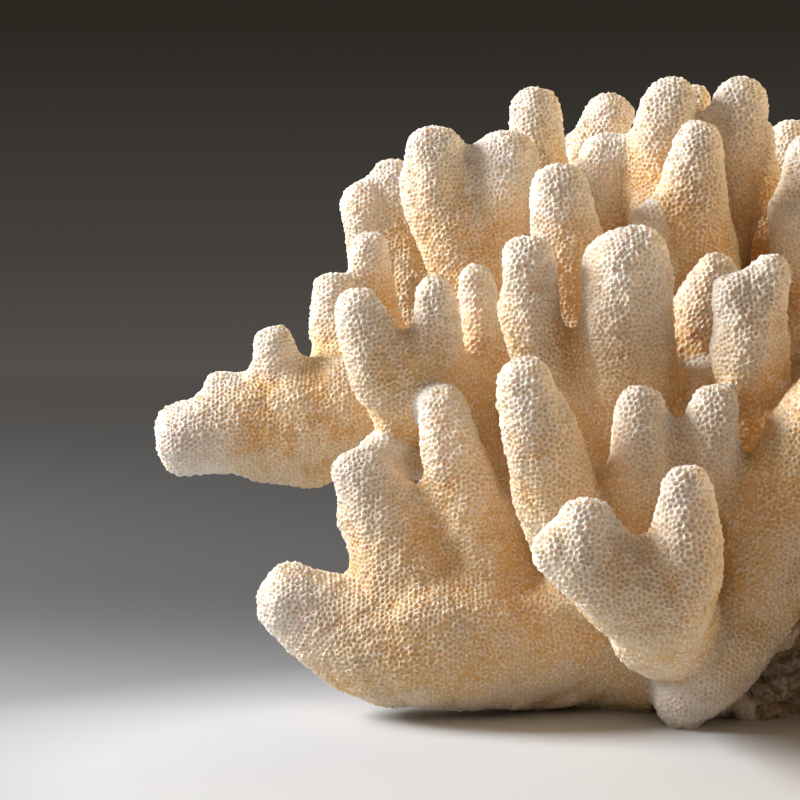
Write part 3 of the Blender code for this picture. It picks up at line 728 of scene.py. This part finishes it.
def merge_short(points, corners, shortest, chance):
    """Merges the two ends of edges that are too short, none next to another. Also returns which
    points are left and how many edges were merged."""
    count = len(points)
    t = edge_table(corners, count)
    p = t["p"]
    q = t["q"]
    length = np.linalg.norm(points[p] - points[q], axis=1)
    short = shortest[p] - length
    rank = np.where(short > 0, short + 1e-7 * chance.uniform(size=len(short)), 0.0)
    best = np.zeros(count)
    np.maximum.at(best, p, rank)
    np.maximum.at(best, q, rank)
    around = best.copy()
    np.maximum.at(around, p, best[q])
    np.maximum.at(around, q, best[p])
    chosen = np.flatnonzero((rank > 0) & (rank == around[p]) & (rank == around[q]))
    # A merge is only sound where the two ends share exactly the two facing corners
    source = np.concatenate([p, q])
    order = np.argsort(source, kind="stable")
    ends = np.concatenate([q, p])[order]
    number = np.bincount(source, minlength=count)
    first = np.concatenate([[0], np.cumsum(number)[:-1]])
    step = np.arange(MOST_NEIGHBOURS)

    def neighbours(point, blank):
        at = np.minimum(first[point][:, None] + step, len(ends) - 1)
        return np.where(step < number[point][:, None], ends[at], blank)

    one = neighbours(p[chosen], -1)
    two = neighbours(q[chosen], -2)
    common = (one[:, :, None] == two[:, None, :]).sum(axis=(1, 2))
    small = number[p[chosen]] + number[q[chosen]] <= MOST_NEIGHBOURS
    firm = (number[t["c"][chosen]] > 3) & (number[t["d"][chosen]] > 3)
    chosen = chosen[(common == 2) & small & firm]
    points = points.copy()
    points[p[chosen]] = 0.5 * (points[p[chosen]] + points[q[chosen]])
    swap = np.arange(count)
    swap[q[chosen]] = p[chosen]
    corners = swap[corners]
    corners = corners[(corners != corners[:, (1, 2, 0)]).all(axis=1)]
    used = np.zeros(count, dtype=bool)
    used[corners] = True
    fresh = np.cumsum(used) - 1
    return points[used], fresh[corners], used, len(chosen)


def split_long(points, corners, longest):
    """Puts a point in the middle of edges that are too long, and cuts the triangles there in
    two, three or four."""
    t = edge_table(corners, len(points))
    length = np.linalg.norm(points[t["p"]] - points[t["q"]], axis=1)
    chosen = np.flatnonzero(length > longest[t["p"]])
    middle = 0.5 * (points[t["p"][chosen]] + points[t["q"][chosen]])
    limit = 0.5 * (longest[t["p"][chosen]] + longest[t["q"][chosen]])
    number = len(points) + np.arange(len(chosen))
    at = np.full(corners.size, -1)
    at[t["one"][chosen]] = number
    at[t["two"][chosen]] = number
    at = at.reshape(-1, 3)
    cuts = (at >= 0).sum(axis=1)
    kept = [corners[cuts == 0]]
    for turn in range(3):
        roll = [(turn + k) % 3 for k in range(3)]
        v = corners[:, roll]
        m = at[:, roll]
        single = (cuts == 1) & (m[:, 0] >= 0)
        double = (cuts == 2) & (m[:, 2] < 0)
        v0, v1, v2 = v[single].T
        m0 = m[single, 0]
        kept += [np.stack([v0, m0, v2], 1), np.stack([m0, v1, v2], 1)]
        v0, v1, v2 = v[double].T
        m0, m1 = m[double, 0], m[double, 1]
        kept += [np.stack([m0, v1, m1], 1), np.stack([v0, m0, m1], 1), np.stack([v0, m1, v2], 1)]
    v0, v1, v2 = corners[cuts == 3].T
    m0, m1, m2 = at[cuts == 3].T
    for three in ((v0, m0, m2), (m0, v1, m1), (m2, m1, v2), (m0, m1, m2)):
        kept.append(np.stack(three, 1))
    return np.vstack([points, middle]), np.concatenate(kept), np.concatenate([longest, limit])


def even_triangles(points, corners, size):
    """Gives the skin even triangles whose edges are about size long at each point."""
    chance = np.random.RandomState(NET_SEED)
    for merges in (9, 9, 9, 3, 3):
        points = slide_points(points, corners, 2)
        corners = flip_edges(points, corners, chance, 3)
        for _ in range(merges):
            points, corners, used, merged = merge_short(points, corners, SHORT_EDGE * size, chance)
            size = size[used]
            if merged < FEW_MERGES:
                break
        corners = flip_edges(points, corners, chance, 3)
        points, corners, size = split_long(points, corners, LONG_EDGE * size)
        size = size / LONG_EDGE
        corners = flip_edges(points, corners, chance, 3)
    for _ in range(5):
        points = slide_points(points, corners, 2)
        corners = flip_edges(points, corners, chance, 2)
    return points, corners


def solid_cells(samples):
    """Marks the cells that the fingers and the dome fill, then blurs them twice over five cells
    along each axis."""
    low = np.array(BLOCK_LOW)
    solid = np.zeros(BLOCK_CELLS, dtype=np.float32)
    dome = np.array([[*HOLDFAST_CENTRE, HOLDFAST_RADII[0]]])
    for x, y, z, radius in np.vstack([samples[:, :4], dome]):
        middle = np.array([x, y, z])
        first = np.maximum(((middle - radius - low) / CELL).astype(int), 0)
        last = np.minimum(((middle + radius - low) / CELL).astype(int) + 2, BLOCK_CELLS)
        i, j, k = (np.arange(first[n], last[n]) * CELL + low[n] for n in range(3))
        away = (i[:, None, None] - x) ** 2 + (j[None, :, None] - y) ** 2 + (k[None, None, :] - z) ** 2
        part = solid[first[0]:last[0], first[1]:last[1], first[2]:last[2]]
        np.maximum(part, away < radius ** 2, out=part)
    for _ in range(2):
        for axis in range(3):
            margin = [(3, 2) if n == axis else (0, 0) for n in range(3)]
            total = np.cumsum(np.pad(solid, margin), axis=axis)
            ahead = np.take(total, np.arange(5, total.shape[axis]), axis=axis)
            behind = np.take(total, np.arange(0, total.shape[axis] - 5), axis=axis)
            solid = (ahead - behind) / 5
    return solid


def solid_share(samples, points, normals):
    """How closed in each point is, from 0 in the open to 1 in a deep crevice: the share of
    solid cells round a spot a little way out from it."""
    solid = solid_cells(samples)
    most = np.array(solid.shape) - 1
    spot = (points / MM + normals * LOOK_OUT - np.array(BLOCK_LOW)) / CELL
    at = np.clip(spot.astype(int), 0, np.array(BLOCK_CELLS) - 2)
    part = np.clip(spot - at, 0, 1)
    value = np.zeros(len(points))
    for step in ((x, y, z) for x in (0, 1) for y in (0, 1) for z in (0, 1)):
        along_x, along_y, along_z = np.abs(1 - np.array(step) - part).T
        i, j, k = np.minimum(at + step, most).T
        value += along_x * along_y * along_z * solid[i, j, k]
    return np.clip((value - 0.05) / 0.6, 0, 1)


def nearest_finger(points, samples):
    """For each point, the branch number of the nearest finger, by distance to its skin, and
    how far back from that finger's tip the point is, in millimetres."""
    rows = samples.astype(np.float32)
    places = rows[:, :3]
    label = np.empty(len(points), dtype=np.int64)
    back = np.empty(len(points))
    batch = 8192
    for start in range(0, len(points), batch):
        block = (points[start:start + batch] / MM).astype(np.float32)
        square = (block ** 2).sum(1)[:, None] + (places ** 2).sum(1)[None] - 2 * block @ places.T
        away = np.sqrt(np.maximum(square, 0)) - rows[:, 3]
        best = away.argmin(axis=1)
        label[start:start + batch] = rows[best, 4].astype(int)
        back[start:start + batch] = rows[best, 5]
    return label, back


def settle_labels(label, p, q, kinds, times=8):
    """Gives each point the label that most of its neighbours and itself have."""
    count = len(label)
    source = np.concatenate([p, q, np.arange(count)])
    other = np.concatenate([q, p, np.arange(count)])
    for _ in range(times):
        votes = np.bincount(source * kinds + label[other], minlength=count * kinds).reshape(count, kinds)
        label = votes.argmax(axis=1)
    return label


def swelling(points):
    """How far the surface swells at each point, from about -2 in hollows to 2 on lumps."""
    large = waves(points / MM, length=9.5, seed=3)
    small = waves(points / MM, length=4.2, seed=5)
    return large + 0.4 * small


def grow_skin(settings):
    """Makes the whole skin. Returns its points, triangles, the branch number of each triangle
    and the point values that the materials read."""
    points, corners, samples = coral_forms()
    web = settings.web_radius
    points, corners = fuse_skin(points, corners, settings.skin_voxel, (web, -web), 5)
    points[:, 2] = np.maximum(points[:, 2], 0.0)
    points, corners = fuse_skin(points, corners, settings.skin_voxel, (), 6)
    normals = corner_normals(points, corners)
    points += normals * (settings.lump_height * swelling(points))[:, None]
    # The net is wider where nothing is seen: deep in crevices and underneath
    crevice = np.clip((solid_share(samples, points, normals) - 0.45) / 0.4, 0, 1)
    size = EDGE_PER_SPACING * settings.spacing * (1.0 + CREVICE_WIDER * crevice)
    size = np.where(points[:, 2] < MM, UNDERSIDE_EDGE * settings.spacing, size)
    points, corners = even_triangles(points, corners, size)
    return add_corallites(points, corners, samples, settings)


def depth_in(place, ball):
    """How far inside a ball each place is, in millimetres. The ball is a middle and a radius."""
    middle, radius = ball
    return radius - np.linalg.norm(place - middle, axis=1)


def dirt_at(points, label, chance):
    """How far each point is brown crust, from 0 to 1 with a ragged edge, and how far it is
    crust or a dark speck."""
    place = points / MM
    ragged = 2.5 * waves(place, length=7.0, seed=8)
    crust = np.clip((depth_in(place, HOLDFAST_CRUST) + ragged) / 1.5, 0, 1) * (label == 0)
    side = np.clip((depth_in(place, SIDE_CRUST) + 0.5 * ragged) / 1.5, 0, 1)
    crust = np.maximum(crust, side)
    speck = (depth_in(place, SPECKS) > 0) & (chance.uniform(0, 1, len(points)) < SPECK_SHARE)
    return crust, np.maximum(0.8 * crust, speck)


def add_corallites(points, corners, samples, settings):
    """Makes each point of the even skin a pit, with a wall corner over each triangle's middle.

    The pit is its point moved in along the normal, and the wall corner is the triangle's
    middle moved out. Each edge of the skin becomes two triangles, between its two pits and
    the wall corners on its two sides.
    """
    count = len(points)
    chance = np.random.RandomState(CORALLITE_SEED)
    normals = corner_normals(points, corners)
    nudge = chance.uniform(-1, 1, (count, 3)) * PIT_STRAY * settings.spacing
    nudge -= normals * np.einsum("ij,ij->i", nudge, normals)[:, None]
    points = points + nudge
    t = edge_table(corners, count)
    p = t["p"]
    q = t["q"]
    left = count + t["one"] // 3
    right = count + t["two"] // 3
    fine = np.concatenate([np.stack([p, right, left], 1), np.stack([q, left, right], 1)])
    label, back = nearest_finger(points, samples)
    dome = (points / MM - HOLDFAST_CENTRE) / (np.array(HOLDFAST_RADII) + 0.5)
    label[(dome ** 2).sum(axis=1) < 1] = 0
    label = settle_labels(label, p, q, 1 + len(BRANCHES))
    owner = np.concatenate([label[p], label[q]])
    closed_in = solid_share(samples, points, normals)
    tip = np.clip(1 - back / TIP_REACH, 0, 1)
    # Painted shade: how closed in a point is and how deep it lies in a hollow set how much painted warm
    # shade the material puts there
    hollow = np.clip((-0.2 - swelling(points)) / 1.2, 0, 1)
    crevice_shade = np.maximum(closed_in, 0.45 * hollow)
    flat = points[:, 2] < 0.0006
    open_share = np.where(flat, 0.0, 1 - CREVICE_LOSS * closed_in)
    depth = settings.pit_depth * open_share * chance.uniform(0.75, 1.25, count)
    middle = points[corners].mean(axis=1)
    wall_normal = normals[corners].mean(axis=1)
    spine = chance.uniform(0, 1, len(corners)) ** 2
    height = settings.wall_height * open_share[corners].min(axis=1) * (0.35 + 1.65 * spine)
    crust, dirt = dirt_at(points, label, chance)
    depth *= 1 - crust
    height *= 1 - crust[corners].max(axis=1)
    whole = np.vstack([points - normals * depth[:, None], middle + wall_normal * height[:, None]])
    # The crust lies lower and is uneven: waves of two lengths, in millimetres
    large = waves(whole / MM, length=3.4, seed=9)
    small = waves(whole / MM, length=1.9, seed=10)
    sunk = np.clip(0.9 + 0.8 * large + 0.5 * small, 0, 2.5)
    sunk = sunk * MM * np.concatenate([crust, crust[corners].mean(axis=1)])
    whole -= np.vstack([normals, wall_normal]) * sunk[:, None]
    whole[:, 2] = np.where(np.concatenate([flat, flat[corners].any(axis=1)]), 0.0, whole[:, 2])
    low, high = (np.array(corner) for corner in cad_box)
    whole = np.clip(whole, low, high)
    values = {
        "pit": np.concatenate([np.where(flat, 0.3, 1.0), np.zeros(len(corners))]),
        "tip": np.concatenate([tip, tip[corners].mean(axis=1)]),
        "crevice_shade": np.concatenate([crevice_shade, crevice_shade[corners].mean(axis=1)]),
        "spine": np.concatenate([np.zeros(count), spine * (1 - crust[corners].max(axis=1))]),
        "dirt": np.concatenate([dirt, dirt[corners].mean(axis=1)]),
    }
    return whole, fine, owner, values


def close_loops(points, corners):
    """Closes each open rim: a wall goes in from it, and a fan runs from that to one point.
    Also returns how many points were added."""
    count = len(points)
    a = corners.ravel()
    b = corners[:, (1, 2, 0)].ravel()
    key = a * count + b
    open_edge = ~np.isin(key, b * count + a)
    start = a[open_edge]
    end = b[open_edge]
    # Points of one rim come to share its least number
    group = np.arange(count)
    settled = False
    while not settled:
        least = np.minimum(group[start], group[end])
        fresh = group.copy()
        np.minimum.at(fresh, start, least)
        np.minimum.at(fresh, end, least)
        settled = np.array_equal(fresh, group)
        group = fresh[fresh]
    loop = np.unique(group[start], return_inverse=True)[1]
    size = np.bincount(loop)
    rim = np.unique(start)
    sunk = points[rim] - CLOSING_DEPTH * corner_normals(points, corners)[rim]
    place = np.zeros(count, dtype=np.int64)
    place[rim] = count + np.arange(len(rim))
    whole = np.vstack([points, sunk])
    one = place[start]
    two = place[end]
    centre = np.stack([np.bincount(loop, weights=whole[one, k]) for k in range(3)], 1) / size[:, None]
    walls = np.concatenate([np.stack([end, start, one], 1), np.stack([end, one, two], 1)])
    fans = np.stack([two, one, len(whole) + loop], 1)
    return np.vstack([whole, centre]), np.concatenate([corners, walls, fans]), len(rim) + len(size)


def cut_piece(name, node, number, skin, material):
    """Takes one branch's triangles out of the skin, closes them and makes the piece."""
    points, corners, owner, values = skin
    mine = corners[owner == number]
    used = np.zeros(len(points), dtype=bool)
    used[mine] = True
    fresh = np.cumsum(used) - 1
    part, triangles, added = close_loops(points[used], fresh[mine])
    mesh = mesh_from(name, part, triangles)
    mesh.shade_flat()
    for title, value in values.items():
        layer = mesh.attributes.new(title, "FLOAT", "POINT")
        inside = np.full(added, 0.5)
        layer.data.foreach_set("value", np.concatenate([value[used], inside]).astype(np.float32))
    mesh.materials.append(material)
    piece = bpy.data.objects.new(name, mesh)
    bpy.context.scene.collection.objects.link(piece)
    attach(piece, "root")
    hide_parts(node)
    return piece


def add_node(tree, kind, place, **values):
    """Adds a shader node and sets its properties, and its inputs by name."""
    node = tree.nodes.new(kind)
    node.location = place
    for title, value in values.items():
        if title in node.inputs:
            node.inputs[title].default_value = value
        else:
            setattr(node, title, value)
    return node


def blend_colours(tree, place, one, two, share):
    """Mixes two colours, each a socket or a plain colour, by a socket's share."""
    node = tree.nodes.new("ShaderNodeMix")
    node.data_type = "RGBA"
    node.location = place
    tree.links.new(share, node.inputs[0])
    for slot, colour in ((6, one), (7, two)):
        if isinstance(colour, bpy.types.NodeSocket):
            tree.links.new(colour, node.inputs[slot])
        else:
            node.inputs[slot].default_value = (*colour, 1.0)
    return node.outputs[2]


def combine(tree, place, operation, one, two):
    """A Math node on sockets or numbers, clamped to 0 to 1."""
    node = tree.nodes.new("ShaderNodeMath")
    node.operation = operation
    node.use_clamp = True
    node.location = place
    for slot, value in ((0, one), (1, two)):
        if isinstance(value, bpy.types.NodeSocket):
            tree.links.new(value, node.inputs[slot])
        else:
            node.inputs[slot].default_value = value
    return node.outputs[0]


def spread(tree, place, value, source, target=(0.0, 1.0)):
    """Maps a value from the source range to the target range and clamps it."""
    node = tree.nodes.new("ShaderNodeMapRange")
    node.location = place
    tree.links.new(value, node.inputs[0])
    for slot, number in enumerate((*source, *target), start=1):
        node.inputs[slot].default_value = number
    return node.outputs[0]


def noise(tree, place, where, scale, detail):
    """A Noise Texture on Object coordinates. Its scale is in waves per metre."""
    node = add_node(tree, "ShaderNodeTexNoise", place, Scale=scale, Detail=detail)
    tree.links.new(where, node.inputs["Vector"])
    return node.outputs[0]


def attribute(tree, place, title):
    """Reads one of the values that each piece carries at its points."""
    return add_node(tree, "ShaderNodeAttribute", place, attribute_name=title).outputs["Fac"]


def axis_of(tree, place, where, axis):
    """One coordinate of a place."""
    node = add_node(tree, "ShaderNodeSeparateXYZ", place)
    tree.links.new(where, node.inputs[0])
    return node.outputs[axis]


def start_material(name, surface):
    """Makes a material with nodes and sets its shader's inputs. Returns it, its nodes' tree, its
    shader and its Object coordinates."""
    material = bpy.data.materials.new(name)
    material.use_nodes = True
    tree = material.node_tree
    shader = tree.nodes["Principled BSDF"]
    for title, value in surface.items():
        shader.inputs[title].default_value = value
    where = add_node(tree, "ShaderNodeTexCoord", (-1600, 0)).outputs["Object"]
    return material, tree, shader, where


def wall_colours(tree, settings, where, wide, crevice_shade, tip):
    """The walls: painted warm shade in the crevices and hollows, golden in random patches, whiter at the
    tips and on grains, and whiter on the spines, partly as a painted highlight.
    """
    # Painted warm shade in the crevices and hollows, joined with the golden random patches
    hollow_shade = spread(tree, (-1200, -150), crevice_shade, (0.10, 0.50))
    off_tips = spread(tree, (-1200, -450), tip, (0.15, 0.7), (1.0, 0.0))
    patches = spread(tree, (-1200, -350), wide, (0.55, 0.40), (0.0, 0.8))
    patches = combine(tree, (-1100, -350), "MULTIPLY", patches, off_tips)
    golden = combine(tree, (-1150, -150), "MAXIMUM", hollow_shade, patches)
    walls = blend_colours(
        tree, (-1100, 300), settings.wall_colour, settings.golden_and_shade_colour, golden)
    at_tips = spread(tree, (-1200, 150), wide, (0.2, 0.5))
    at_tips = combine(tree, (-1200, 300), "MULTIPLY", tip, at_tips)
    walls = blend_colours(tree, (-1000, 300), walls, settings.tip_colour, at_tips)
    grains = add_node(tree, "ShaderNodeTexVoronoi", (-1400, 900), Scale=GRAIN_SCALE)
    tree.links.new(where, grains.inputs["Vector"])
    white = spread(tree, (-1200, 900), grains.outputs["Distance"], (0.50, 0.18), (0.0, 0.85))
    # The spines are whiter: partly the pale skeleton, partly a painted highlight where they catch the
    # light
    spine = attribute(tree, (-1600, 700), "spine")
    spine = spread(tree, (-1200, 700), spine, (0.3, 0.9), (0.0, 0.7))
    white = combine(tree, (-1100, 800), "MAXIMUM", white, spine)
    return blend_colours(tree, (-900, 500), walls, settings.tip_colour, white)


def stains_and_shade(tree, settings, cells, where, wide, fine, crevice_shade, stain):
    """Painted shade and stain on the cells: painted shade deep in the crevices, brown stain patches,
    darker towards the bottom, and a fine mottle.
    """
    # Painted shade: the deepest crevices take the darker stain colour
    deep = spread(tree, (-1000, -300), crevice_shade, (0.6, 1.0), (0.0, 0.4))
    patch = spread(tree, (-1000, -500), wide, (0.42, 0.62), (0.0, stain))
    stain_and_shade_share = combine(tree, (-800, -300), "MAXIMUM", deep, patch)
    stained_and_shaded = blend_colours(tree, (-600, 300), cells, settings.stain_and_shade_colour, stain_and_shade_share)
    # Darker towards the bottom
    height = axis_of(tree, (-1400, -500), where, "Z")
    foot = spread(tree, (-1200, -500), height, (0.0, 0.055), (0.22, 0.0))
    stained_and_shaded = blend_colours(tree, (-500, 500), stained_and_shaded, settings.stain_and_shade_colour, foot)
    mottle = spread(tree, (-800, -100), fine, (0.35, 0.7), (0.0, 0.25))
    shade = tuple(0.72 * c for c in settings.wall_colour)
    return blend_colours(tree, (-400, 300), stained_and_shaded, shade, mottle)


def coral_material(name, settings, stain):
    """Dry aragonite: pale walls with painted warm shade in the crevices and hollows, ochre corallites
    whose ochre is a painted warm shade, whiter tips, brown stain patches, painted deeper shade in the
    deepest crevices, and dirt.
    The stain is how strongly the brown patches show, from 0 to 1."""
    material, tree, shader, where = start_material(name, CORAL_SURFACE)
    crevice_shade = attribute(tree, (-1600, -300), "crevice_shade")
    tip = attribute(tree, (-1600, 300), "tip")
    wide = noise(tree, (-1400, 100), where, PATCH_SCALE, 4.0)
    fine = noise(tree, (-1400, -100), where, MOTTLE_SCALE, 3.0)
    walls = wall_colours(tree, settings, where, wide, crevice_shade, tip)
    # Each pit goes from its pale rim to its ochre middle, a painted warm shade, and is paler near a tip
    pit = attribute(tree, (-1600, 500), "pit")
    pit = spread(tree, (-1000, 500), pit, (0.40, 0.95), (0.0, 0.95))
    paler = spread(tree, (-1000, 700), tip, (0.1, 0.8), (1.0, 0.55))
    pit = combine(tree, (-950, 600), "MULTIPLY", pit, paler)
    cells = blend_colours(tree, (-800, 300), walls, settings.pit_shade_colour, pit)
    stained_and_shaded = stains_and_shade(tree, settings, cells, where, wide, fine, crevice_shade, stain)
    # Crust and specks are brown, mottled with small dark pores
    dirt = attribute(tree, (-1600, -700), "dirt")
    pores = spread(tree, (-800, -500), fine, (0.36, 0.6), (0.55, 1.0))
    dirt = combine(tree, (-500, -500), "MULTIPLY", dirt, pores)
    final = blend_colours(tree, (-300, 300), stained_and_shaded, settings.dirt_colour, dirt)
    tree.links.new(final, shader.inputs["Base Color"])
    rough = noise(tree, (-800, -700), where, BUMP_SCALE, 2.0)
    bump = add_node(tree, "ShaderNodeBump", (-300, -200), Strength=0.35, Distance=0.0002)
    tree.links.new(rough, bump.inputs["Height"])
    tree.links.new(bump.outputs["Normal"], shader.inputs["Normal"])
    return material


def colour_ramp(tree, place, value, stops, kind):
    """A Color Ramp of the given kind through the (position, colour) stops."""
    node = tree.nodes.new("ShaderNodeValToRGB")
    node.location = place
    ramp = node.color_ramp
    ramp.interpolation = kind
    for number, (position, colour) in enumerate(stops):
        stop = ramp.elements[number] if number < 2 else ramp.elements.new(position)
        stop.position = position
        stop.color = (*colour, 1.0)
    tree.links.new(value, node.inputs[0])
    return node.outputs[0]


def distance_of(tree, place, where):
    """How far a place is from the zero point."""
    node = add_node(tree, "ShaderNodeVectorMath", place, operation="LENGTH")
    tree.links.new(where, node.inputs[0])
    return node.outputs["Value"]


def floor_colours(tree, stage, where):
    """A painted round pool of light, times a painted falloff of light towards the back, and painted
    shade far to the sides.
    """
    pale = tuple(stage.floor_colour)
    moved = add_node(tree, "ShaderNodeVectorMath", (-900, 0), operation="MULTIPLY_ADD")
    moved.inputs[1].default_value = (0.6, 1.0, 1.0)
    moved.inputs[2].default_value = (0.0, 0.10, 0.0)
    tree.links.new(where, moved.inputs[0])
    length = distance_of(tree, (-700, 0), moved.outputs[0])
    # Painted pool of light round the coral
    outside = spread(tree, (-500, 0), length, POOL_RIM)
    pool = blend_colours(
        tree, (-300, 0), pale, tuple(POOL_OUTSIDE * c for c in pale), outside)
    # Painted falloff of light towards the back
    behind = spread(tree, (-700, 300), axis_of(tree, (-900, 300), where, "Y"), (-0.1, 0.3))
    stops = [(position, (share, share, share)) for position, share in FLOOR_LIGHT_FALL]
    product = tree.nodes.new("ShaderNodeMix")
    product.data_type = "RGBA"
    product.blend_type = "MULTIPLY"
    product.inputs[0].default_value = 1.0
    tree.links.new(pool, product.inputs[6])
    fall = colour_ramp(tree, (-500, 300), behind, stops, "B_SPLINE")
    tree.links.new(fall, product.inputs[7])
    # Painted shade far to the sides
    across = axis_of(tree, (-900, 500), where, "X")
    beside = combine(tree, (-700, 500), "ABSOLUTE", across, 0.0)
    beside = spread(tree, (-500, 500), beside, (0.25, 0.7), (0.0, 0.9))
    dark = tuple(0.12 * c for c in pale)
    return blend_colours(tree, (-100, 0), product.outputs[2], dark, beside)


def floor_material(stage):
    """Pale matt paper round the coral with a painted pool of light, whose painted light falls off to
    grey, and which then fades into the dark.
    """
    material, tree, shader, where = start_material("pale_floor", FLOOR_SURFACE)
    tree.links.new(floor_colours(tree, stage, where), shader.inputs["Base Color"])
    away = distance_of(tree, (-700, -300), where)
    clear = add_node(tree, "ShaderNodeBsdfTransparent", (0, -300))
    fade = add_node(tree, "ShaderNodeMixShader", (300, 0))
    tree.links.new(spread(tree, (0, 200), away, (0.35, 1.0)), fade.inputs[0])
    tree.links.new(shader.outputs[0], fade.inputs[1])
    tree.links.new(clear.outputs[0], fade.inputs[2])
    output = tree.nodes["Material Output"]
    tree.links.new(fade.outputs[0], output.inputs["Surface"])
    return material


def studio_world(stage):
    """A backdrop with no edge: dark above and paler below."""
    world = bpy.data.worlds.new("studio")
    world.use_nodes = True
    tree = world.node_tree
    way = add_node(tree, "ShaderNodeTexCoord", (-900, 0)).outputs["Generated"]
    height = axis_of(tree, (-700, 0), way, "Z")
    height = spread(tree, (-500, 0), height, (-0.25, 0.25))
    low = tuple(stage.backdrop_low)
    high = tuple(stage.backdrop_high)
    middle = tuple(0.44 * a + 0.56 * b for a, b in zip(low, high))
    top = tuple(0.8 * c for c in high)
    stops = [(0.30, low), (0.45, middle), (0.66, high), (1.0, top)]
    colour = colour_ramp(tree, (-300, 0), height, stops, "LINEAR")
    tree.links.new(colour, tree.nodes["Background"].inputs["Color"])
    return world


def area_light(name, place, aim, size, power, colour):
    """A square area light turned towards a point."""
    lamp = bpy.data.lights.new(name, "AREA")
    lamp.shape = "SQUARE"
    lamp.size = size
    lamp.energy = power
    lamp.color = colour
    holder = bpy.data.objects.new(name, lamp)
    holder.location = place
    holder.rotation_euler = (Vector(aim) - Vector(place)).to_track_quat("-Z", "Y").to_euler()
    bpy.context.scene.collection.objects.link(holder)


SKIN = {}


def shared_skin(settings):
    """The skin is grown once and then shared by the operators."""
    if "skin" not in SKIN:
        SKIN["skin"] = grow_skin(settings)
    return SKIN["skin"]


class CORAL_OT_branches(bpy.types.Operator):
    """Makes the main branches, each cut from the common skin at its fork"""

    bl_idname = "coral.branches"
    bl_label = "Branches"

    def execute(self, context):
        settings = context.scene.coral
        skin = shared_skin(settings)
        material = coral_material("branch_coral", settings, stain=0.25)
        for number, node in enumerate(BRANCHES, start=1):
            cut_piece(node + "_skin", node, number, skin, material)
        return {"FINISHED"}


class CORAL_OT_holdfast(bpy.types.Operator):
    """Makes the holdfast in the middle, with its flat cut"""

    bl_idname = "coral.holdfast"
    bl_label = "Holdfast"

    def execute(self, context):
        settings = context.scene.coral
        skin = shared_skin(settings)
        material = coral_material("holdfast_coral", settings, stain=0.7)
        cut_piece("holdfast_skin", "holdfast", 0, skin, material)
        return {"FINISHED"}


class CORAL_OT_stage(bpy.types.Operator):
    """Adds the pale floor, the soft lights and the camera"""

    bl_idname = "coral.stage"
    bl_label = "Stage"

    def execute(self, context):
        stage = context.scene.coral_stage
        half = FLOOR_HALF
        corners = [(-half, -half, 0.0), (half, -half, 0.0), (half, half, 0.0), (-half, half, 0.0)]
        mesh = bpy.data.meshes.new("floor")
        mesh.from_pydata(corners, [], [(0, 1, 2, 3)])
        mesh.materials.append(floor_material(stage))
        floor = bpy.data.objects.new("floor", mesh)
        context.scene.collection.objects.link(floor)

        aim = Vector(stage.aim)
        back = Vector((0.0, -math.cos(stage.elevation), math.sin(stage.elevation)))
        lens = bpy.data.cameras.new("camera")
        lens.lens = stage.lens
        lens.sensor_width = 36.0
        lens.clip_start = 0.01
        lens.clip_end = 50.0
        camera = bpy.data.objects.new("camera", lens)
        camera.location = aim + back * stage.distance
        camera.rotation_euler = (-back).to_track_quat("-Z", "Y").to_euler()
        context.scene.collection.objects.link(camera)
        context.scene.camera = camera

        powers = (stage.key_power, stage.fill_power, stage.front_power)
        for (name, place, target, size, colour), power in zip(LIGHTS, powers):
            area_light(name, place, target, size, power, colour)
        context.scene.world = studio_world(stage)
        context.scene.view_settings.view_transform = "Standard"
        return {"FINISHED"}


class CORAL_PT_panel(bpy.types.Panel):
    """Lists the coral's operators and settings"""

    bl_label = "Cats Paw Coral"
    bl_space_type = "VIEW_3D"
    bl_region_type = "UI"
    bl_category = "Coral"

    def draw(self, context):
        column = self.layout.column()
        for settings in (context.scene.coral, context.scene.coral_stage):
            for title in settings.bl_rna.properties.keys():
                if title not in ("rna_type", "name"):
                    column.prop(settings, title)
        for operator in OPERATORS:
            column.operator(operator.bl_idname)


OPERATORS = (CORAL_OT_branches, CORAL_OT_holdfast, CORAL_OT_stage)
CLASSES = (CoralSettings, StageSettings, *OPERATORS, CORAL_PT_panel)


def register():
    """Registers the classes and hangs both groups of settings on the scene."""
    for item in CLASSES:
        bpy.utils.register_class(item)
    bpy.types.Scene.coral = bpy.props.PointerProperty(type=CoralSettings)
    bpy.types.Scene.coral_stage = bpy.props.PointerProperty(type=StageSettings)


def unregister():
    """Takes the settings and the classes away again."""
    del bpy.types.Scene.coral_stage
    del bpy.types.Scene.coral
    for item in reversed(CLASSES):
        bpy.utils.unregister_class(item)


def main():
    register()
    bpy.ops.coral.branches()
    bpy.ops.coral.holdfast()
    bpy.ops.coral.stage()


if __name__ == "__main__":
    main()
